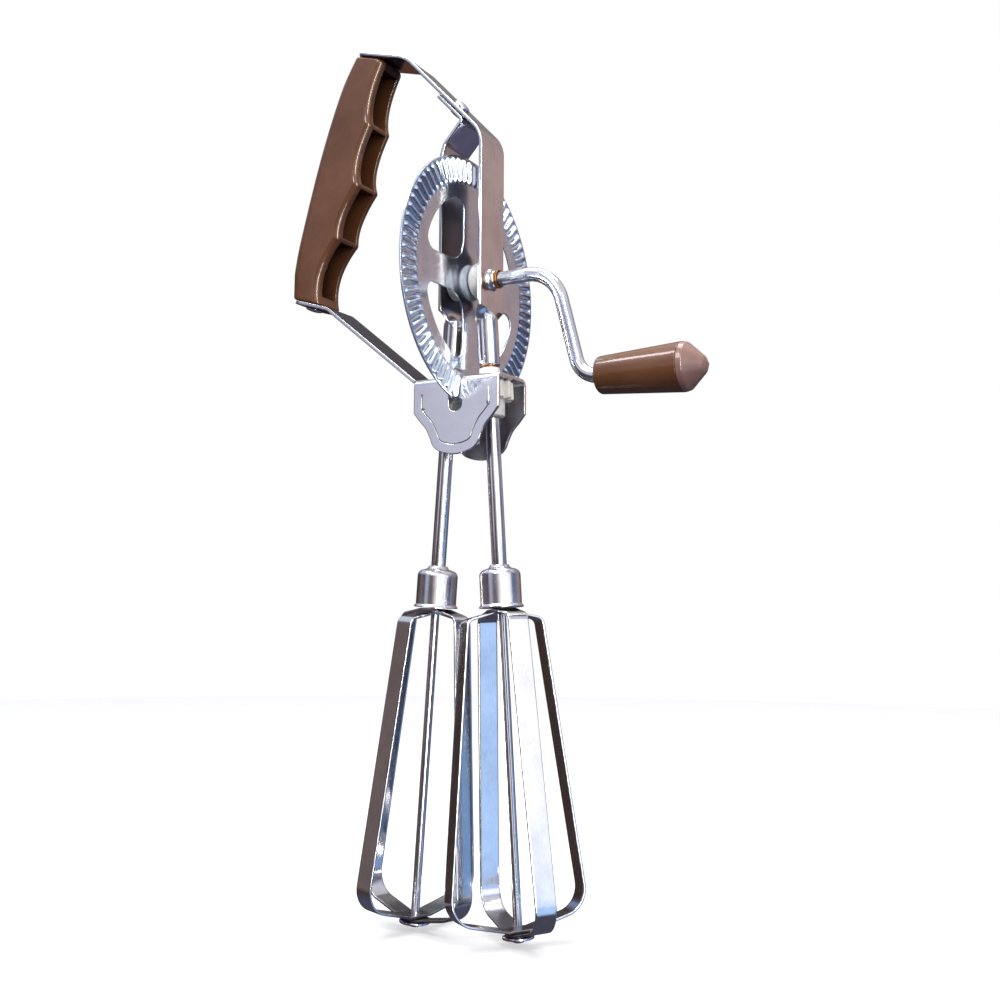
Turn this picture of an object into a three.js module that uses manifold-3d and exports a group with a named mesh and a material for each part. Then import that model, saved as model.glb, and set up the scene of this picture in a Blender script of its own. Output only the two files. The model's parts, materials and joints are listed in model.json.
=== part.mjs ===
// Rotary egg beater: a hand crank turns a pressed face gear that drives two whisking cages.
// Millimetres, +Z up. The pieces are laid out about the centre of the drive wheel, with +X along
// the crank axle and the wheel in the YZ plane, and one group then puts the origin in the hand grip.
import * as THREE from 'three';
import { mergeVertices } from 'three/addons/utils/BufferGeometryUtils.js';
import Module from 'manifold-3d';

const wasm = await Module();
wasm.setup();

// Clearances and the overrun of every cut
const seatGap = 0.3;
const runningGap = 0.3;
const overrun = 2;

// Facets of a full round, of a small round and of a bend
const roundSides = 20;
const smallSides = 12;
const bendSteps = 5;

// Middle point of a quarter round, and a shallow dome, as shares of their radius and rise
const quarterShare = 1 - Math.SQRT1_2;
const domeShares = [[1, 0], [0.85, 0.6], [0.5, 0.92], [0, 1]];

// Strip metal of the frame
const stripThickness = 1.2;
const stripWidth = 15.1;
const stripBendRadius = 2.4;

// Hand grip, in its own frame: along its length and across from palm to fingers
const gripLength = 88.5;
const gripDepth = 16.75;
const gripWidth = 13.8;
const gripLean = THREE.MathUtils.degToRad(17);
const gripEdgeRadius = 1.6;
const gripWall = 2.1;
const gripPalmWall = 3.4;
const gripRibThickness = 1.8;
const gripPalmCorner = 2.2;
// Along the grip as shares of its length, across it as shares of its depth
const palmShares = [[1, 0.03], [0.85, -0.147], [0.58, -0.235], [0.24, -0.205], [0.1, -0.14], [0, 0.02]];
const fingerLipShares = [[0, 0.79], [0.274, 0.85], [0.497, 1], [0.738, 0.9], [0.985, 0.795]];
const fingerHollowShares = [[0.13, 0.61], [0.37, 0.8], [0.593, 0.82], [0.838, 0.735]];

// Uprights, one on each side of the wheel
const uprightFaceX = 8.2;
const uprightNeckHalf = 3.1;
const uprightNeckLength = 5.7;
const uprightNeckLap = 0.5;

// Crown strip: over the grip, down a slope and round the shoulder into the crank side's upright
const crownSlope = THREE.MathUtils.degToRad(46.9);
const crownSlopeLength = 45.07;
const crownBendReach = 23.25;
const crownRise = 6.8;
const crownShoulderRadius = 10.5;
const crownBendRadius = 4;
const crownRivetX = -4.7;

// Far upright: a lap under the crown strip, folded back and down on the far side of the wheel
const lapStartX = -10.2;
const lapFoldX = 0.3;
const farBendX = -6.5;
const farBendRise = 4.9;

// Rivets through the strips
const rivetHeadRadius = 3;
const rivetHeadHeight = 1.1;
const rivetShankRadius = 1.5;
const rivetTailShare = 0.8;
const gripRivetInset = 6.2;
const gripRivetLength = 5;

// Drive wheel
const wheelRadius = 42;
const wheelSheet = 0.7;
const wheelTeeth = 72;
const waveHeight = 0.95;
const waveBand = 9.2;
const waveRise = 1.4;
const waveRim = 1;
const crestShare = 0.34;
const kidneyInset = 4.4;
const spokeHalf = 5.3;
const kidneyInnerFillet = 8.4;
const kidneyOuterFillet = 3.6;
const hubRadius = 7;
const hubSlopeRadius = 13;
const hubRise = 1.1;

// Crank rod: axle, arm and knob pin in one bent rod
const rodRadius = 2.3;
const axleHeadRadius = 3.4;
const axleHeadHeight = 1.2;
const axleHeadNeck = 0.2;
const armTopX = 31.3;
const armSlant = THREE.MathUtils.degToRad(14.8);
const knobDrop = 35.8;
const elbowRadius = 13;
const wristRadius = 8;
const knobPinLength = 26;
const rodSteps = 36;

// Knob
const knobStartX = 47;
const knobLength = 27.8;
const knobSmallRadius = 5.9;
const knobLargeRadius = 7.7;
const knobEdgeRadius = 1.2;
const capConeLength = 7.9;
const capShoulderLength = 1.3;
const capShoulderRadius = 7.1;
const capTipRadius = 2.3;
const capTipShares = [[1.25, 0.1], [0.8, 0.7], [0, 1]];
const capPlugLength = 5;
const capPlugRadius = 4.6;
const knobBoreWall = 2.2;

// Bushes, collars and washers on the axle
const wheelBushRadius = 6.2;
const wheelBushEdge = 1.4;
const wheelSpacerRadius = 5.2;
const collarRadius = 4;
const collarLip = 3.2;
const collarHeight = 1.5;
const collarDraft = 0.6;
const crankWasherRadius = 3.9;
const crankWasherThickness = 0.9;
const endWasherRadius = 4.4;
const endWasherThickness = 0.8;

// Beater shafts lean outwards below
const shaftLean = Math.atan(0.066);
const spindleRadius = 1.4;
const spindleTopDrop = 0.8;
const sleeveRadius = 3;
const sleeveAxleGap = 6;
const sleeveRollHeight = 3.8;
const sleeveEndRise = 4.15;
const sleeveCutBack = 0.6;
const sleeveWasherRadius = 3.1;
const sleeveWasherThickness = 0.5;
const bushFlangeRadius = 3.4;
const bushBodyRadius = 2.6;

// Yoke: a slotted top plate with two shield-shaped flaps
const yokeInset = 9.25;
const yokeHalfLength = 16.1;
const yokeHalfWidth = 9.4;
const yokeCornerRadius = 1.8;
const yokeSideDrop = 11.45;
const yokeFlapDrop = 14.4;
// Half outline of a flap below its straight sides: shares of the half length and of the drop
const flapShares = [
  [1, 0], [0.86, 0.19], [0.71, 0.37], [0.61, 0.58], [0.54, 0.76], [0.42, 0.89], [0.22, 0.97], [0, 1],
];
const slotHalfWidth = 2.47;
const slotClearance = 2.6;
const lowerBendReach = 17.82;
const lowerBendRadius = 3;
const lowerHeelInset = 2.2;

// Pinion: its pitch circle rolls on the wheel's, and its teeth dip into the wheel's valleys
const pinionTeeth = 12;
const pinionPitchInset = 4.4;
const pinionAddendum = 1.23;
const pinionDedendum = 0.77;
const pinionToothGap = 0.39;
const pinionTipShare = 0.24;
const pinionRootShare = 0.52;
const pinionDrop = 0.85;
const pinionHeight = 5.8;
const pinionBossRadius = 4.3;
const pinionBossHeight = 5.4;

// Shaft tube and ferrule
const tubeRadius = 2.4;
const tubeBelowYoke = 36.6;
const ferruleLength = 12.1;
const ferruleRadius = 6.2;
const ferruleNeckRadius = 3.4;
const ferruleNeckRise = 1.2;
const ferruleLipRadius = 7.2;
const ferruleLipHeight = 2.2;
const ferruleWall = 0.7;
const ferruleShoulder = 1.6;

// Whisk blades: two closed bands crossed on each spindle
const bladeThickness = 0.8;
const bladeWidth = 6.8;
const bladeDrop = 1.3;
const bladeLength = 99.4;
const bladeShoulderRadius = 12.8;
const bladeShoulderDrop = 2;
const bladeShoulderBend = 2.6;
const bladeCornerRadius = 22.9;
const bladeCornerRise = 4.6;
const bladeCornerBend = 8;
const bladeCrownHalf = 4;
const washerRadius = 5;
const washerThickness = 0.8;
const spindleHeadRadius = 2.4;
const spindleHeadHeight = 1;
const headShares = [[0, 1], [0.7, 0.8], [1, 0]];
const leftBladeTurn = THREE.MathUtils.degToRad(-15);
const rightBladeTurn = THREE.MathUtils.degToRad(142);

// Heights, from the wheel's rim up to the crown
const crownPointZ = wheelRadius + crownRise;
const farBendZ = wheelRadius + farBendRise;

// From the axle down to the uprights' feet
const sleeveShellTopZ = -wheelBushRadius - sleeveAxleGap;
const spindleTopZ = sleeveShellTopZ - spindleTopDrop;
const sleeveTopZ = sleeveShellTopZ - sleeveRollHeight;
const uprightNeckZ = sleeveTopZ - uprightNeckLap;
const uprightFootZ = uprightNeckZ + uprightNeckLength;

// From the wheel's lower rim to the yoke, and on down the beaters
const yokeTopZ = yokeInset - wheelRadius;
const sleeveEndZ = yokeTopZ + sleeveEndRise;
const yokeSideEndZ = yokeTopZ - yokeSideDrop;
const yokeBottomZ = yokeSideEndZ - yokeFlapDrop;
const slotEndZ = -wheelRadius - slotClearance;
const ferruleTopZ = yokeBottomZ - tubeBelowYoke;
const ferruleEndZ = ferruleTopZ - ferruleLength;
const bladeTopZ = ferruleEndZ - bladeDrop;
const bladeEndZ = bladeTopZ - bladeLength;
const bladeCornerZ = bladeEndZ + bladeCornerRise;

// Rings of the wheel, the pinion that rolls on it, and the shafts' distance from the wheel's plane
const waveInnerRadius = wheelRadius - waveBand;
const kidneyOuterRadius = waveInnerRadius - kidneyInset;
const pinionPitchRadius = ((wheelRadius - pinionPitchInset) * pinionTeeth) / wheelTeeth;
const pinionTipRadius = pinionPitchRadius + pinionAddendum;
const pinionRootRadius = pinionPitchRadius - pinionDedendum;
const pinionMiddleZ = yokeTopZ - stripThickness - pinionDrop - pinionHeight / 2;
const shaftOffset = pinionTipRadius + pinionToothGap + pinionMiddleZ * Math.tan(shaftLean);

// Finishes
const finishes = {
  grip: { color: 0x7d5a45, roughness: 0.35, metalness: 0 },
  steel: { color: 0xc9c9d2, roughness: 0.22, metalness: 1 },
  nylon: { color: 0xe9e4da, roughness: 0.5, metalness: 0 },
  greyBush: { color: 0x8f8d86, roughness: 0.5, metalness: 0 },
  brass: { color: 0xa8672c, roughness: 0.35, metalness: 1 },
};

// Solids: geometry to manifold and back
function toSolid(geometry) {
  const plain = geometry.clone();
  plain.deleteAttribute('normal');
  plain.deleteAttribute('uv');
  const merged = mergeVertices(plain);
  const vertProperties = new Float32Array(merged.attributes.position.array);
  const triVerts = new Uint32Array(merged.index.array);
  return new wasm.Manifold(new wasm.Mesh({ numProp: 3, vertProperties, triVerts }));
}

function toGeometry(solid) {
  const mesh = solid.getMesh();
  const geometry = new THREE.BufferGeometry();
  geometry.setAttribute('position', new THREE.BufferAttribute(new Float32Array(mesh.vertProperties), 3));
  geometry.setIndex(new THREE.BufferAttribute(new Uint32Array(mesh.triVerts), 1));
  geometry.computeVertexNormals();
  return geometry;
}

function joined(first, ...others) {
  return toGeometry(others.reduce((solid, other) => solid.add(toSolid(other)), toSolid(first)));
}

function cut(body, ...tools) {
  return toGeometry(tools.reduce((solid, tool) => solid.subtract(toSolid(tool)), toSolid(body)));
}

function common(first, second) {
  return toGeometry(toSolid(first).intersect(toSolid(second)));
}

// Outlines: a path of points with a bend radius at each inner corner
function bentPath(corners, closed = false) {
  const count = corners.length;
  const points = [];
  corners.forEach(([x, y, radius = 0], index) => {
    const here = new THREE.Vector2(x, y);
    const isEnd = !closed && (index === 0 || index === count - 1);
    if (isEnd || radius === 0) {
      points.push(here);
      return;
    }
    const [lastX, lastY] = corners[(index + count - 1) % count];
    const [nextX, nextY] = corners[(index + 1) % count];
    const before = new THREE.Vector2(lastX, lastY).sub(here).normalize();
    const after = new THREE.Vector2(nextX, nextY).sub(here).normalize();
    const halfAngle = before.angleTo(after) / 2;
    const centreDistance = radius / Math.sin(halfAngle);
    const centre = before.clone().add(after).setLength(centreDistance).add(here);
    const tangent = radius / Math.tan(halfAngle);
    const start = before.clone().multiplyScalar(tangent).add(here).sub(centre);
    const end = after.clone().multiplyScalar(tangent).add(here).sub(centre);
    const turn = Math.atan2(start.cross(end), start.dot(end));
    for (let step = 0; step <= bendSteps; step += 1) {
      points.push(start.clone().rotateAround(new THREE.Vector2(), (turn * step) / bendSteps).add(centre));
    }
  });
  return points;
}

// One side of a path, moved sideways by a distance
function offsetPath(points, distance, closed = false) {
  const count = points.length;
  return points.map((point, index) => {
    const hasBefore = closed || index > 0;
    const hasAfter = closed || index < count - 1;
    const before = hasBefore ? point.clone().sub(points[(index + count - 1) % count]).normalize() : null;
    const after = hasAfter ? points[(index + 1) % count].clone().sub(point).normalize() : null;
    const along = (before ?? after).clone().add(after ?? before).normalize();
    const miter = before && after ? Math.sqrt((1 + before.dot(after)) / 2) : 1;
    return new THREE.Vector2(-along.y, along.x).multiplyScalar(distance / miter).add(point);
  });
}

// A bent strip in the XZ plane, as wide as asked along Y
function bentStrip(corners, thickness, width) {
  const path = bentPath(corners);
  const left = offsetPath(path, thickness / 2);
  const right = offsetPath(path, -thickness / 2);
  return alongY(new THREE.Shape([...left, ...right.reverse()]), width);
}

// A shape drawn in X and Z, extruded evenly to both sides along Y
function alongY(shape, width, bevel = 0) {
  const geometry = new THREE.ExtrudeGeometry(shape, {
    depth: width - 2 * bevel,
    bevelEnabled: bevel > 0,
    bevelSize: bevel,
    bevelThickness: bevel,
    bevelOffset: -bevel,
    bevelSegments: 3,
    curveSegments: bendSteps,
  });
  geometry.translate(0, 0, bevel - width / 2);
  geometry.rotateX(Math.PI / 2);
  return geometry;
}

// A shape drawn in Y and Z, extruded along X from a start
function alongX(shape, startX, length) {
  const geometry = new THREE.ExtrudeGeometry(shape, { depth: length, bevelEnabled: false });
  geometry.rotateX(Math.PI / 2);
  geometry.rotateZ(Math.PI / 2);
  geometry.translate(startX, 0, 0);
  return geometry;
}

// A turned solid from points of radius and height, about Z or laid along X
function turned(profile, sides = roundSides) {
  const points = profile.map(([radius, height]) => new THREE.Vector2(radius, height));
  const geometry = new THREE.LatheGeometry(points, sides);
  geometry.rotateX(Math.PI / 2);
  return geometry;
}

function turnedAlongX(profile, sides = roundSides) {
  return turned(profile, sides).rotateY(Math.PI / 2);
}

function ringProfile(innerRadius, outerRadius, start, end) {
  const corner = [innerRadius, start];
  return [corner, [outerRadius, start], [outerRadius, end], [innerRadius, end], corner];
}

function discProfile(radius, start, end) {
  return [[0, start], [radius, start], [radius, end], [0, end]];
}

// A solid on a beater's leaning axis: side is 1 on the crank side and -1 on the far side
function onShaft(geometry, side) {
  return geometry.rotateY(-side * shaftLean).translate(side * shaftOffset, 0, 0);
}

function shaftLevel(z) {
  return z / Math.cos(shaftLean);
}

// Middle line of the crown strip, from the crank side's upright up the slope to the bend over the grip
const uprightMiddleX = uprightFaceX - stripThickness / 2;
const crownDirection = new THREE.Vector2(Math.cos(crownSlope), -Math.sin(crownSlope));
const crownNormal = new THREE.Vector2(-crownDirection.y, crownDirection.x);
const crownPoint = new THREE.Vector2(uprightFaceX, crownPointZ);
const crownCorner = crownPoint.addScaledVector(crownNormal, -stripThickness / 2);
const crownBend = crownCorner.clone().addScaledVector(crownDirection, -crownSlopeLength);

// Places along the grip, which hangs from the crown strip
const gripUp = new THREE.Vector2(Math.sin(gripLean), Math.cos(gripLean));
const gripAcross = new THREE.Vector2(gripUp.y, -gripUp.x);
const crownOffset = gripLength + seatGap + stripThickness / 2;
const crownPalm = crownBend.clone().addScaledVector(gripAcross, -crownBendReach);
const gripHeel = crownPalm.addScaledVector(gripUp, -crownOffset);

function gripPoint(along, across) {
  return gripHeel.clone().addScaledVector(gripUp, along).addScaledVector(gripAcross, across);
}

function gripShare([alongShare, acrossShare]) {
  return gripPoint(alongShare * gripLength, acrossShare * gripDepth);
}

// Hand grip: a moulded handle, open towards the fingers, with a rib behind each finger lip
function gripOutline() {
  const shape = new THREE.Shape();
  const palm = palmShares.map(gripShare);
  const start = palm[0];
  shape.moveTo(start.x, start.y);
  shape.splineThru(palm.slice(1, -1));
  const lips = fingerLipShares.map(gripShare);
  const heel = bentPath([[palm.at(-2).x, palm.at(-2).y], [palm.at(-1).x, palm.at(-1).y, gripPalmCorner],
    [lips[0].x, lips[0].y]]);
  heel.slice(1).forEach((point) => shape.lineTo(point.x, point.y));
  fingerHollowShares.map(gripShare).forEach((hollow, index) => {
    const middle = lips[index].clone().add(lips[index + 1]).divideScalar(2);
    const control = hollow.clone().multiplyScalar(2).sub(middle);
    shape.quadraticCurveTo(control.x, control.y, lips[index + 1].x, lips[index + 1].y);
  });
  const toe = gripPoint(gripLength, fingerLipShares.at(-1)[1] * gripDepth - gripEdgeRadius);
  shape.lineTo(toe.x, toe.y);
  shape.closePath();
  return shape;
}

function gripPocket(lowAlong, highAlong) {
  const lowDepth = palmDepthAt(lowAlong) + gripPalmWall;
  const highDepth = palmDepthAt(highAlong) + gripPalmWall;
  const corners = [
    gripPoint(lowAlong, lowDepth),
    gripPoint(lowAlong, gripDepth + overrun),
    gripPoint(highAlong, gripDepth + overrun),
    gripPoint(highAlong, highDepth),
  ];
  return alongY(new THREE.Shape(corners), gripWidth - 2 * gripWall);
}

function palmDepthAt(along) {
  const share = along / gripLength;
  const upper = palmShares.findLastIndex(([alongShare]) => alongShare >= share);
  const [highShare, highDepth] = palmShares[upper];
  const [lowShare, lowDepth] = palmShares[upper + 1];
  const mix = (share - lowShare) / (highShare - lowShare);
  return THREE.MathUtils.lerp(lowDepth, highDepth, mix) * gripDepth;
}

function rivetCut(place, up, length) {
  const geometry = turned(discProfile(rivetShankRadius + seatGap, -length, overrun), smallSides);
  geometry.rotateY(Math.atan2(up.x, up.y));
  geometry.translate(place.x, 0, place.y);
  return geometry;
}

function handGrip() {
  const ribs = fingerLipShares.slice(1, -1).map(([alongShare]) => alongShare * gripLength);
  const endInset = gripRivetLength + gripWall - gripRibThickness / 2;
  const edges = [endInset, ...ribs, gripLength - endInset];
  const pockets = edges.slice(1).map((high, index) => gripPocket(
    edges[index] + gripRibThickness / 2,
    high - gripRibThickness / 2,
  ));
  const body = alongY(gripOutline(), gripWidth, gripEdgeRadius);
  return cut(
    body,
    ...pockets,
    rivetCut(gripPoint(gripLength, gripRivetInset), gripUp, gripRivetLength + seatGap),
    rivetCut(gripPoint(0, gripRivetInset), gripUp.clone().negate(), gripRivetLength + seatGap),
  );
}

function crossing(pointA, directionA, pointB, directionB) {
  const along = pointB.clone().sub(pointA).cross(directionB) / directionA.cross(directionB);
  return pointA.clone().addScaledVector(directionA, along);
}

function slopePoint(x, below) {
  const base = crownCorner.clone().addScaledVector(crownNormal, -below);
  return base.addScaledVector(crownDirection, (x - base.x) / crownDirection.x);
}

function crownRivetPoint(above) {
  return slopePoint(crownRivetX, 0).addScaledVector(crownNormal, above);
}

const uprightLine = new THREE.Vector2(uprightMiddleX, 0);
const crownShoulder = crossing(crownCorner, crownDirection, uprightLine, new THREE.Vector2(0, 1));

// The lower end of an upright: a neck that closes into a sleeve round the spindle
function uprightFoot(side) {
  const halfTop = stripWidth / 2;
  const neck = new THREE.Shape([
    new THREE.Vector2(-halfTop, uprightFootZ + overrun),
    new THREE.Vector2(halfTop, uprightFootZ + overrun),
    new THREE.Vector2(halfTop, uprightFootZ),
    new THREE.Vector2(uprightNeckHalf, uprightNeckZ),
    new THREE.Vector2(uprightNeckHalf, uprightNeckZ - overrun),
    new THREE.Vector2(-uprightNeckHalf, uprightNeckZ - overrun),
    new THREE.Vector2(-uprightNeckHalf, uprightNeckZ),
    new THREE.Vector2(-halfTop, uprightFootZ),
  ]);
  const low = side > 0 ? uprightFaceX - stripThickness : -uprightFaceX;
  const shell = turned(discProfile(sleeveRadius, shaftLevel(sleeveEndZ), shaftLevel(sleeveShellTopZ)));
  return [alongX(neck, low, stripThickness), onShaft(shell, side)];
}

function footCuts(side) {
  const bore = turned(discProfile(spindleRadius + runningGap, shaftLevel(sleeveEndZ) - overrun,
    shaftLevel(spindleTopZ) + runningGap));
  const openHeight = sleeveShellTopZ - sleeveTopZ + overrun;
  const opening = new THREE.BoxGeometry(2 * sleeveRadius, 2 * sleeveRadius + overrun, openHeight);
  opening.translate(-side * (sleeveRadius + sleeveCutBack), 0, shaftLevel(sleeveTopZ) + openHeight / 2);
  return [onShaft(bore, side), onShaft(opening, side)];
}

function axleHole(radius, startX, length) {
  return turnedAlongX(discProfile(radius + runningGap, startX, startX + length));
}

function stripRivetHole(place, up) {
  const reach = overrun + stripThickness;
  const hole = turned(discProfile(rivetShankRadius + seatGap, -reach, reach), smallSides);
  hole.rotateY(Math.atan2(up.x, up.y));
  hole.translate(place.x, 0, place.y);
  return hole;
}

function crownStrip() {
  const heel = gripPoint(crownOffset, gripEdgeRadius);
  const strip = bentStrip([
    [heel.x, heel.y],
    [crownBend.x, crownBend.y, crownBendRadius],
    [crownShoulder.x, crownShoulder.y, crownShoulderRadius],
    [uprightMiddleX, uprightFootZ],
  ], stripThickness, stripWidth);
  const solid = joined(strip, ...uprightFoot(1));
  return cut(
    solid,
    ...footCuts(1),
    axleHole(collarLip, uprightFaceX - stripThickness - overrun, stripThickness + 2 * overrun),
    stripRivetHole(crownRivetPoint(0), crownNormal),
    stripRivetHole(gripPoint(crownOffset, gripRivetInset), gripUp),
  );
}

// Far upright with its lap under the slope
const lapBelow = stripThickness + seatGap;

function farUpright() {
  const lapStart = slopePoint(lapStartX, lapBelow);
  const lapFold = slopePoint(lapFoldX, lapBelow);
  const strip = bentStrip([
    [lapStart.x, lapStart.y],
    [lapFold.x, lapFold.y, stripThickness],
    [farBendX, farBendZ, stripBendRadius],
    [-uprightMiddleX, farBendZ - (uprightMiddleX + farBendX) - stripBendRadius, stripBendRadius],
    [-uprightMiddleX, uprightFootZ],
  ], stripThickness, stripWidth);
  const solid = joined(strip, ...uprightFoot(-1));
  return cut(
    solid,
    ...footCuts(-1),
    axleHole(rodRadius, -uprightFaceX - overrun, stripThickness + 2 * overrun),
    stripRivetHole(crownRivetPoint(-lapBelow), crownNormal),
  );
}

// Rivets: a domed head on the strip and a shank through what it holds
function rivet(tail) {
  const dome = domeShares.map(([radiusShare, riseShare]) => [
    radiusShare * rivetHeadRadius,
    riseShare * rivetHeadHeight,
  ]);
  return turned([...tail, [rivetShankRadius, 0], ...dome], smallSides);
}

function crownRivet() {
  const length = 2 * stripThickness + 3 * seatGap;
  const tailRadius = rivetTailShare * rivetHeadRadius;
  const tailEnd = -length - rivetHeadHeight / 2;
  return rivet([[0, tailEnd], [tailRadius, tailEnd], [tailRadius, -length], [rivetShankRadius, -length]]);
}

function gripRivet() {
  const length = stripThickness + seatGap + gripRivetLength;
  return rivet([[0, -length], [rivetShankRadius, -length]]);
}

// Yoke with the lower strip: one pressing
const plateMiddleZ = yokeTopZ - stripThickness / 2;

function yokeChannel() {
  const flapMiddleY = yokeHalfWidth - stripThickness / 2;
  const path = bentPath([
    [-flapMiddleY, yokeBottomZ - overrun],
    [-flapMiddleY, plateMiddleZ, yokeCornerRadius],
    [flapMiddleY, plateMiddleZ, yokeCornerRadius],
    [flapMiddleY, yokeBottomZ - overrun],
  ]);
  const outside = offsetPath(path, stripThickness / 2);
  const inside = offsetPath(path, -stripThickness / 2).reverse();
  return alongX(new THREE.Shape([...outside, ...inside]), -yokeHalfLength, 2 * yokeHalfLength);
}

function flapOutline() {
  const drop = yokeBottomZ - yokeSideEndZ;
  const top = [1, yokeTopZ + overrun];
  const half = flapShares.map(([acrossShare, downShare]) => [acrossShare, yokeSideEndZ + downShare * drop]);
  const nearSide = [top, ...half].map(([share, z]) => new THREE.Vector2(-share * yokeHalfLength, z));
  const crankHalf = [top, ...half.slice(0, -1)];
  const crankSide = crankHalf.map(([share, z]) => new THREE.Vector2(share * yokeHalfLength, z));
  return new THREE.Shape([...nearSide, ...crankSide.reverse()]);
}

function slotOutline() {
  const shape = new THREE.Shape();
  const centreZ = slotEndZ + slotHalfWidth;
  shape.moveTo(-slotHalfWidth, yokeTopZ + overrun);
  shape.lineTo(-slotHalfWidth, centreZ);
  shape.absarc(0, centreZ, slotHalfWidth, Math.PI, 2 * Math.PI, false);
  shape.lineTo(slotHalfWidth, yokeTopZ + overrun);
  return shape;
}

const lowerOffset = -seatGap - stripThickness / 2;

function lowerStrip() {
  const slopeFoot = new THREE.Vector2(-yokeHalfLength, plateMiddleZ);
  const heel = gripPoint(lowerOffset, lowerHeelInset);
  const heelBend = gripPoint(lowerOffset, lowerBendReach);
  return bentStrip([
    [heel.x, heel.y],
    [heelBend.x, heelBend.y, lowerBendRadius],
    [slopeFoot.x, slopeFoot.y, stripBendRadius],
    [slopeFoot.x + 2 * stripBendRadius, slopeFoot.y],
  ], stripThickness, stripWidth);
}

function bushHole(side) {
  const top = shaftLevel(yokeTopZ);
  const bottom = top - stripThickness;
  return onShaft(turned(discProfile(bushBodyRadius + seatGap, bottom - overrun, top + overrun)), side);
}

function yokeStrip() {
  const cutWidth = 2 * (yokeHalfWidth + overrun);
  const plates = common(yokeChannel(), alongY(flapOutline(), cutWidth));
  return cut(
    joined(plates, lowerStrip()),
    alongY(slotOutline(), cutWidth),
    bushHole(1),
    bushHole(-1),
    stripRivetHole(gripPoint(lowerOffset, gripRivetInset), gripUp),
  );
}

// Drive wheel: one sheet with a raised hub, kidney openings and a ring of pressed radial teeth
function wheelCircle(radius, height, places) {
  const pitch = (2 * Math.PI) / wheelTeeth;
  return places.map(([place, wave = 1]) => ({ angle: place * pitch, radius, x: wave * height }));
}

// Places round the wheel, counted in teeth, each with the wave's side: 1 towards the crank, -1 away
function toothPlaces() {
  const slopeShare = (1 - 2 * crestShare) / 2;
  const places = [];
  for (let tooth = 0; tooth < wheelTeeth; tooth += 1) {
    places.push([tooth - crestShare / 2, -1]);
    places.push([tooth + crestShare / 2, -1]);
    places.push([tooth + crestShare / 2 + slopeShare, 1]);
    places.push([tooth + 1 - crestShare / 2 - slopeShare, 1]);
  }
  return places;
}

function evenPlaces(count) {
  return Array.from({ length: count }, (unused, step) => [(step * wheelTeeth) / count]);
}

// A skin between two circles whose counts may differ, always closing the nearer next point
function skin(index, inner, outer, flipped) {
  const turnOf = (circle, step) => {
    const wholeTurn = step >= circle.length ? 2 * Math.PI : 0;
    return circle[step % circle.length].angle + wholeTurn;
  };
  let low = 0;
  let high = 0;
  while (low < inner.length || high < outer.length) {
    const here = inner[low % inner.length].id;
    const there = outer[high % outer.length].id;
    const movesInner = high >= outer.length
      || (low < inner.length && turnOf(inner, low + 1) <= turnOf(outer, high + 1));
    low += movesInner ? 1 : 0;
    high += movesInner ? 0 : 1;
    const next = movesInner ? inner[low % inner.length].id : outer[high % outer.length].id;
    index.push(...(flipped ? [here, next, there] : [here, there, next]));
  }
}

function wheelSheetSolid() {
  const bore = rodRadius + seatGap;
  const teeth = toothPlaces();
  const hub = evenPlaces(roundSides);
  const edge = evenPlaces(2 * wheelTeeth);
  const circles = [
    [bore, hubRise, hub],
    [hubRadius, hubRise, hub],
    [hubSlopeRadius, 0, hub],
    [waveInnerRadius, 0, edge],
    [waveInnerRadius + waveRise, waveHeight, teeth],
    [wheelRadius - waveRim, waveHeight, teeth],
    [wheelRadius, 0, edge],
  ];
  const positions = [];
  const faces = [1, -1].map((face) => circles.map(([radius, height, places]) => {
    const circle = wheelCircle(radius, height, places);
    circle.forEach((point) => {
      point.id = positions.length / 3;
      const across = -radius * Math.sin(point.angle);
      positions.push(point.x + (face * wheelSheet) / 2, across, -radius * Math.cos(point.angle));
    });
    return circle;
  }));
  const index = [];
  const last = circles.length - 1;
  for (let ring = 0; ring < last; ring += 1) {
    skin(index, faces[0][ring], faces[0][ring + 1], true);
    skin(index, faces[1][ring], faces[1][ring + 1], false);
  }
  skin(index, faces[0][last], faces[1][last], true);
  skin(index, faces[0][0], faces[1][0], false);
  const geometry = new THREE.BufferGeometry();
  geometry.setAttribute('position', new THREE.BufferAttribute(new Float32Array(positions), 3));
  geometry.setIndex(index);
  return geometry;
}

// A kidney opening between two spokes: straight along both, rounded at its ends and round outside
function kidneyShape() {
  const near = spokeHalf + kidneyInnerFillet;
  const side = spokeHalf + kidneyOuterFillet;
  const far = Math.sqrt((kidneyOuterRadius - kidneyOuterFillet) ** 2 - side ** 2);
  const startAngle = Math.atan2(side, far);
  const quarter = Math.PI / 2;
  const shape = new THREE.Shape();
  shape.moveTo(near, spokeHalf);
  shape.lineTo(far, spokeHalf);
  shape.absarc(far, side, kidneyOuterFillet, -quarter, startAngle, false);
  shape.absarc(0, 0, kidneyOuterRadius, startAngle, quarter - startAngle, false);
  shape.absarc(side, far, kidneyOuterFillet, quarter - startAngle, Math.PI, false);
  shape.lineTo(spokeHalf, near);
  shape.absarc(near, near, kidneyInnerFillet, Math.PI, Math.PI + quarter, false);
  return shape;
}

function kidney(turn) {
  const outline = kidneyShape().getPoints(bendSteps).slice(0, -1);
  const turnedOutline = outline.map((point) => point.rotateAround(new THREE.Vector2(), turn));
  return alongX(new THREE.Shape(turnedOutline), -waveHeight - overrun, 2 * (waveHeight + overrun) + hubRise);
}

function driveWheel() {
  const kidneys = [0, 1, 2, 3].map((quarter) => kidney((quarter * Math.PI) / 2));
  return cut(wheelSheetSolid(), ...kidneys);
}

// Bushes and washers on the axle
const bushStartX = hubRise + wheelSheet / 2 + seatGap;
const bushEndX = uprightFaceX - stripThickness - seatGap;

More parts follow.
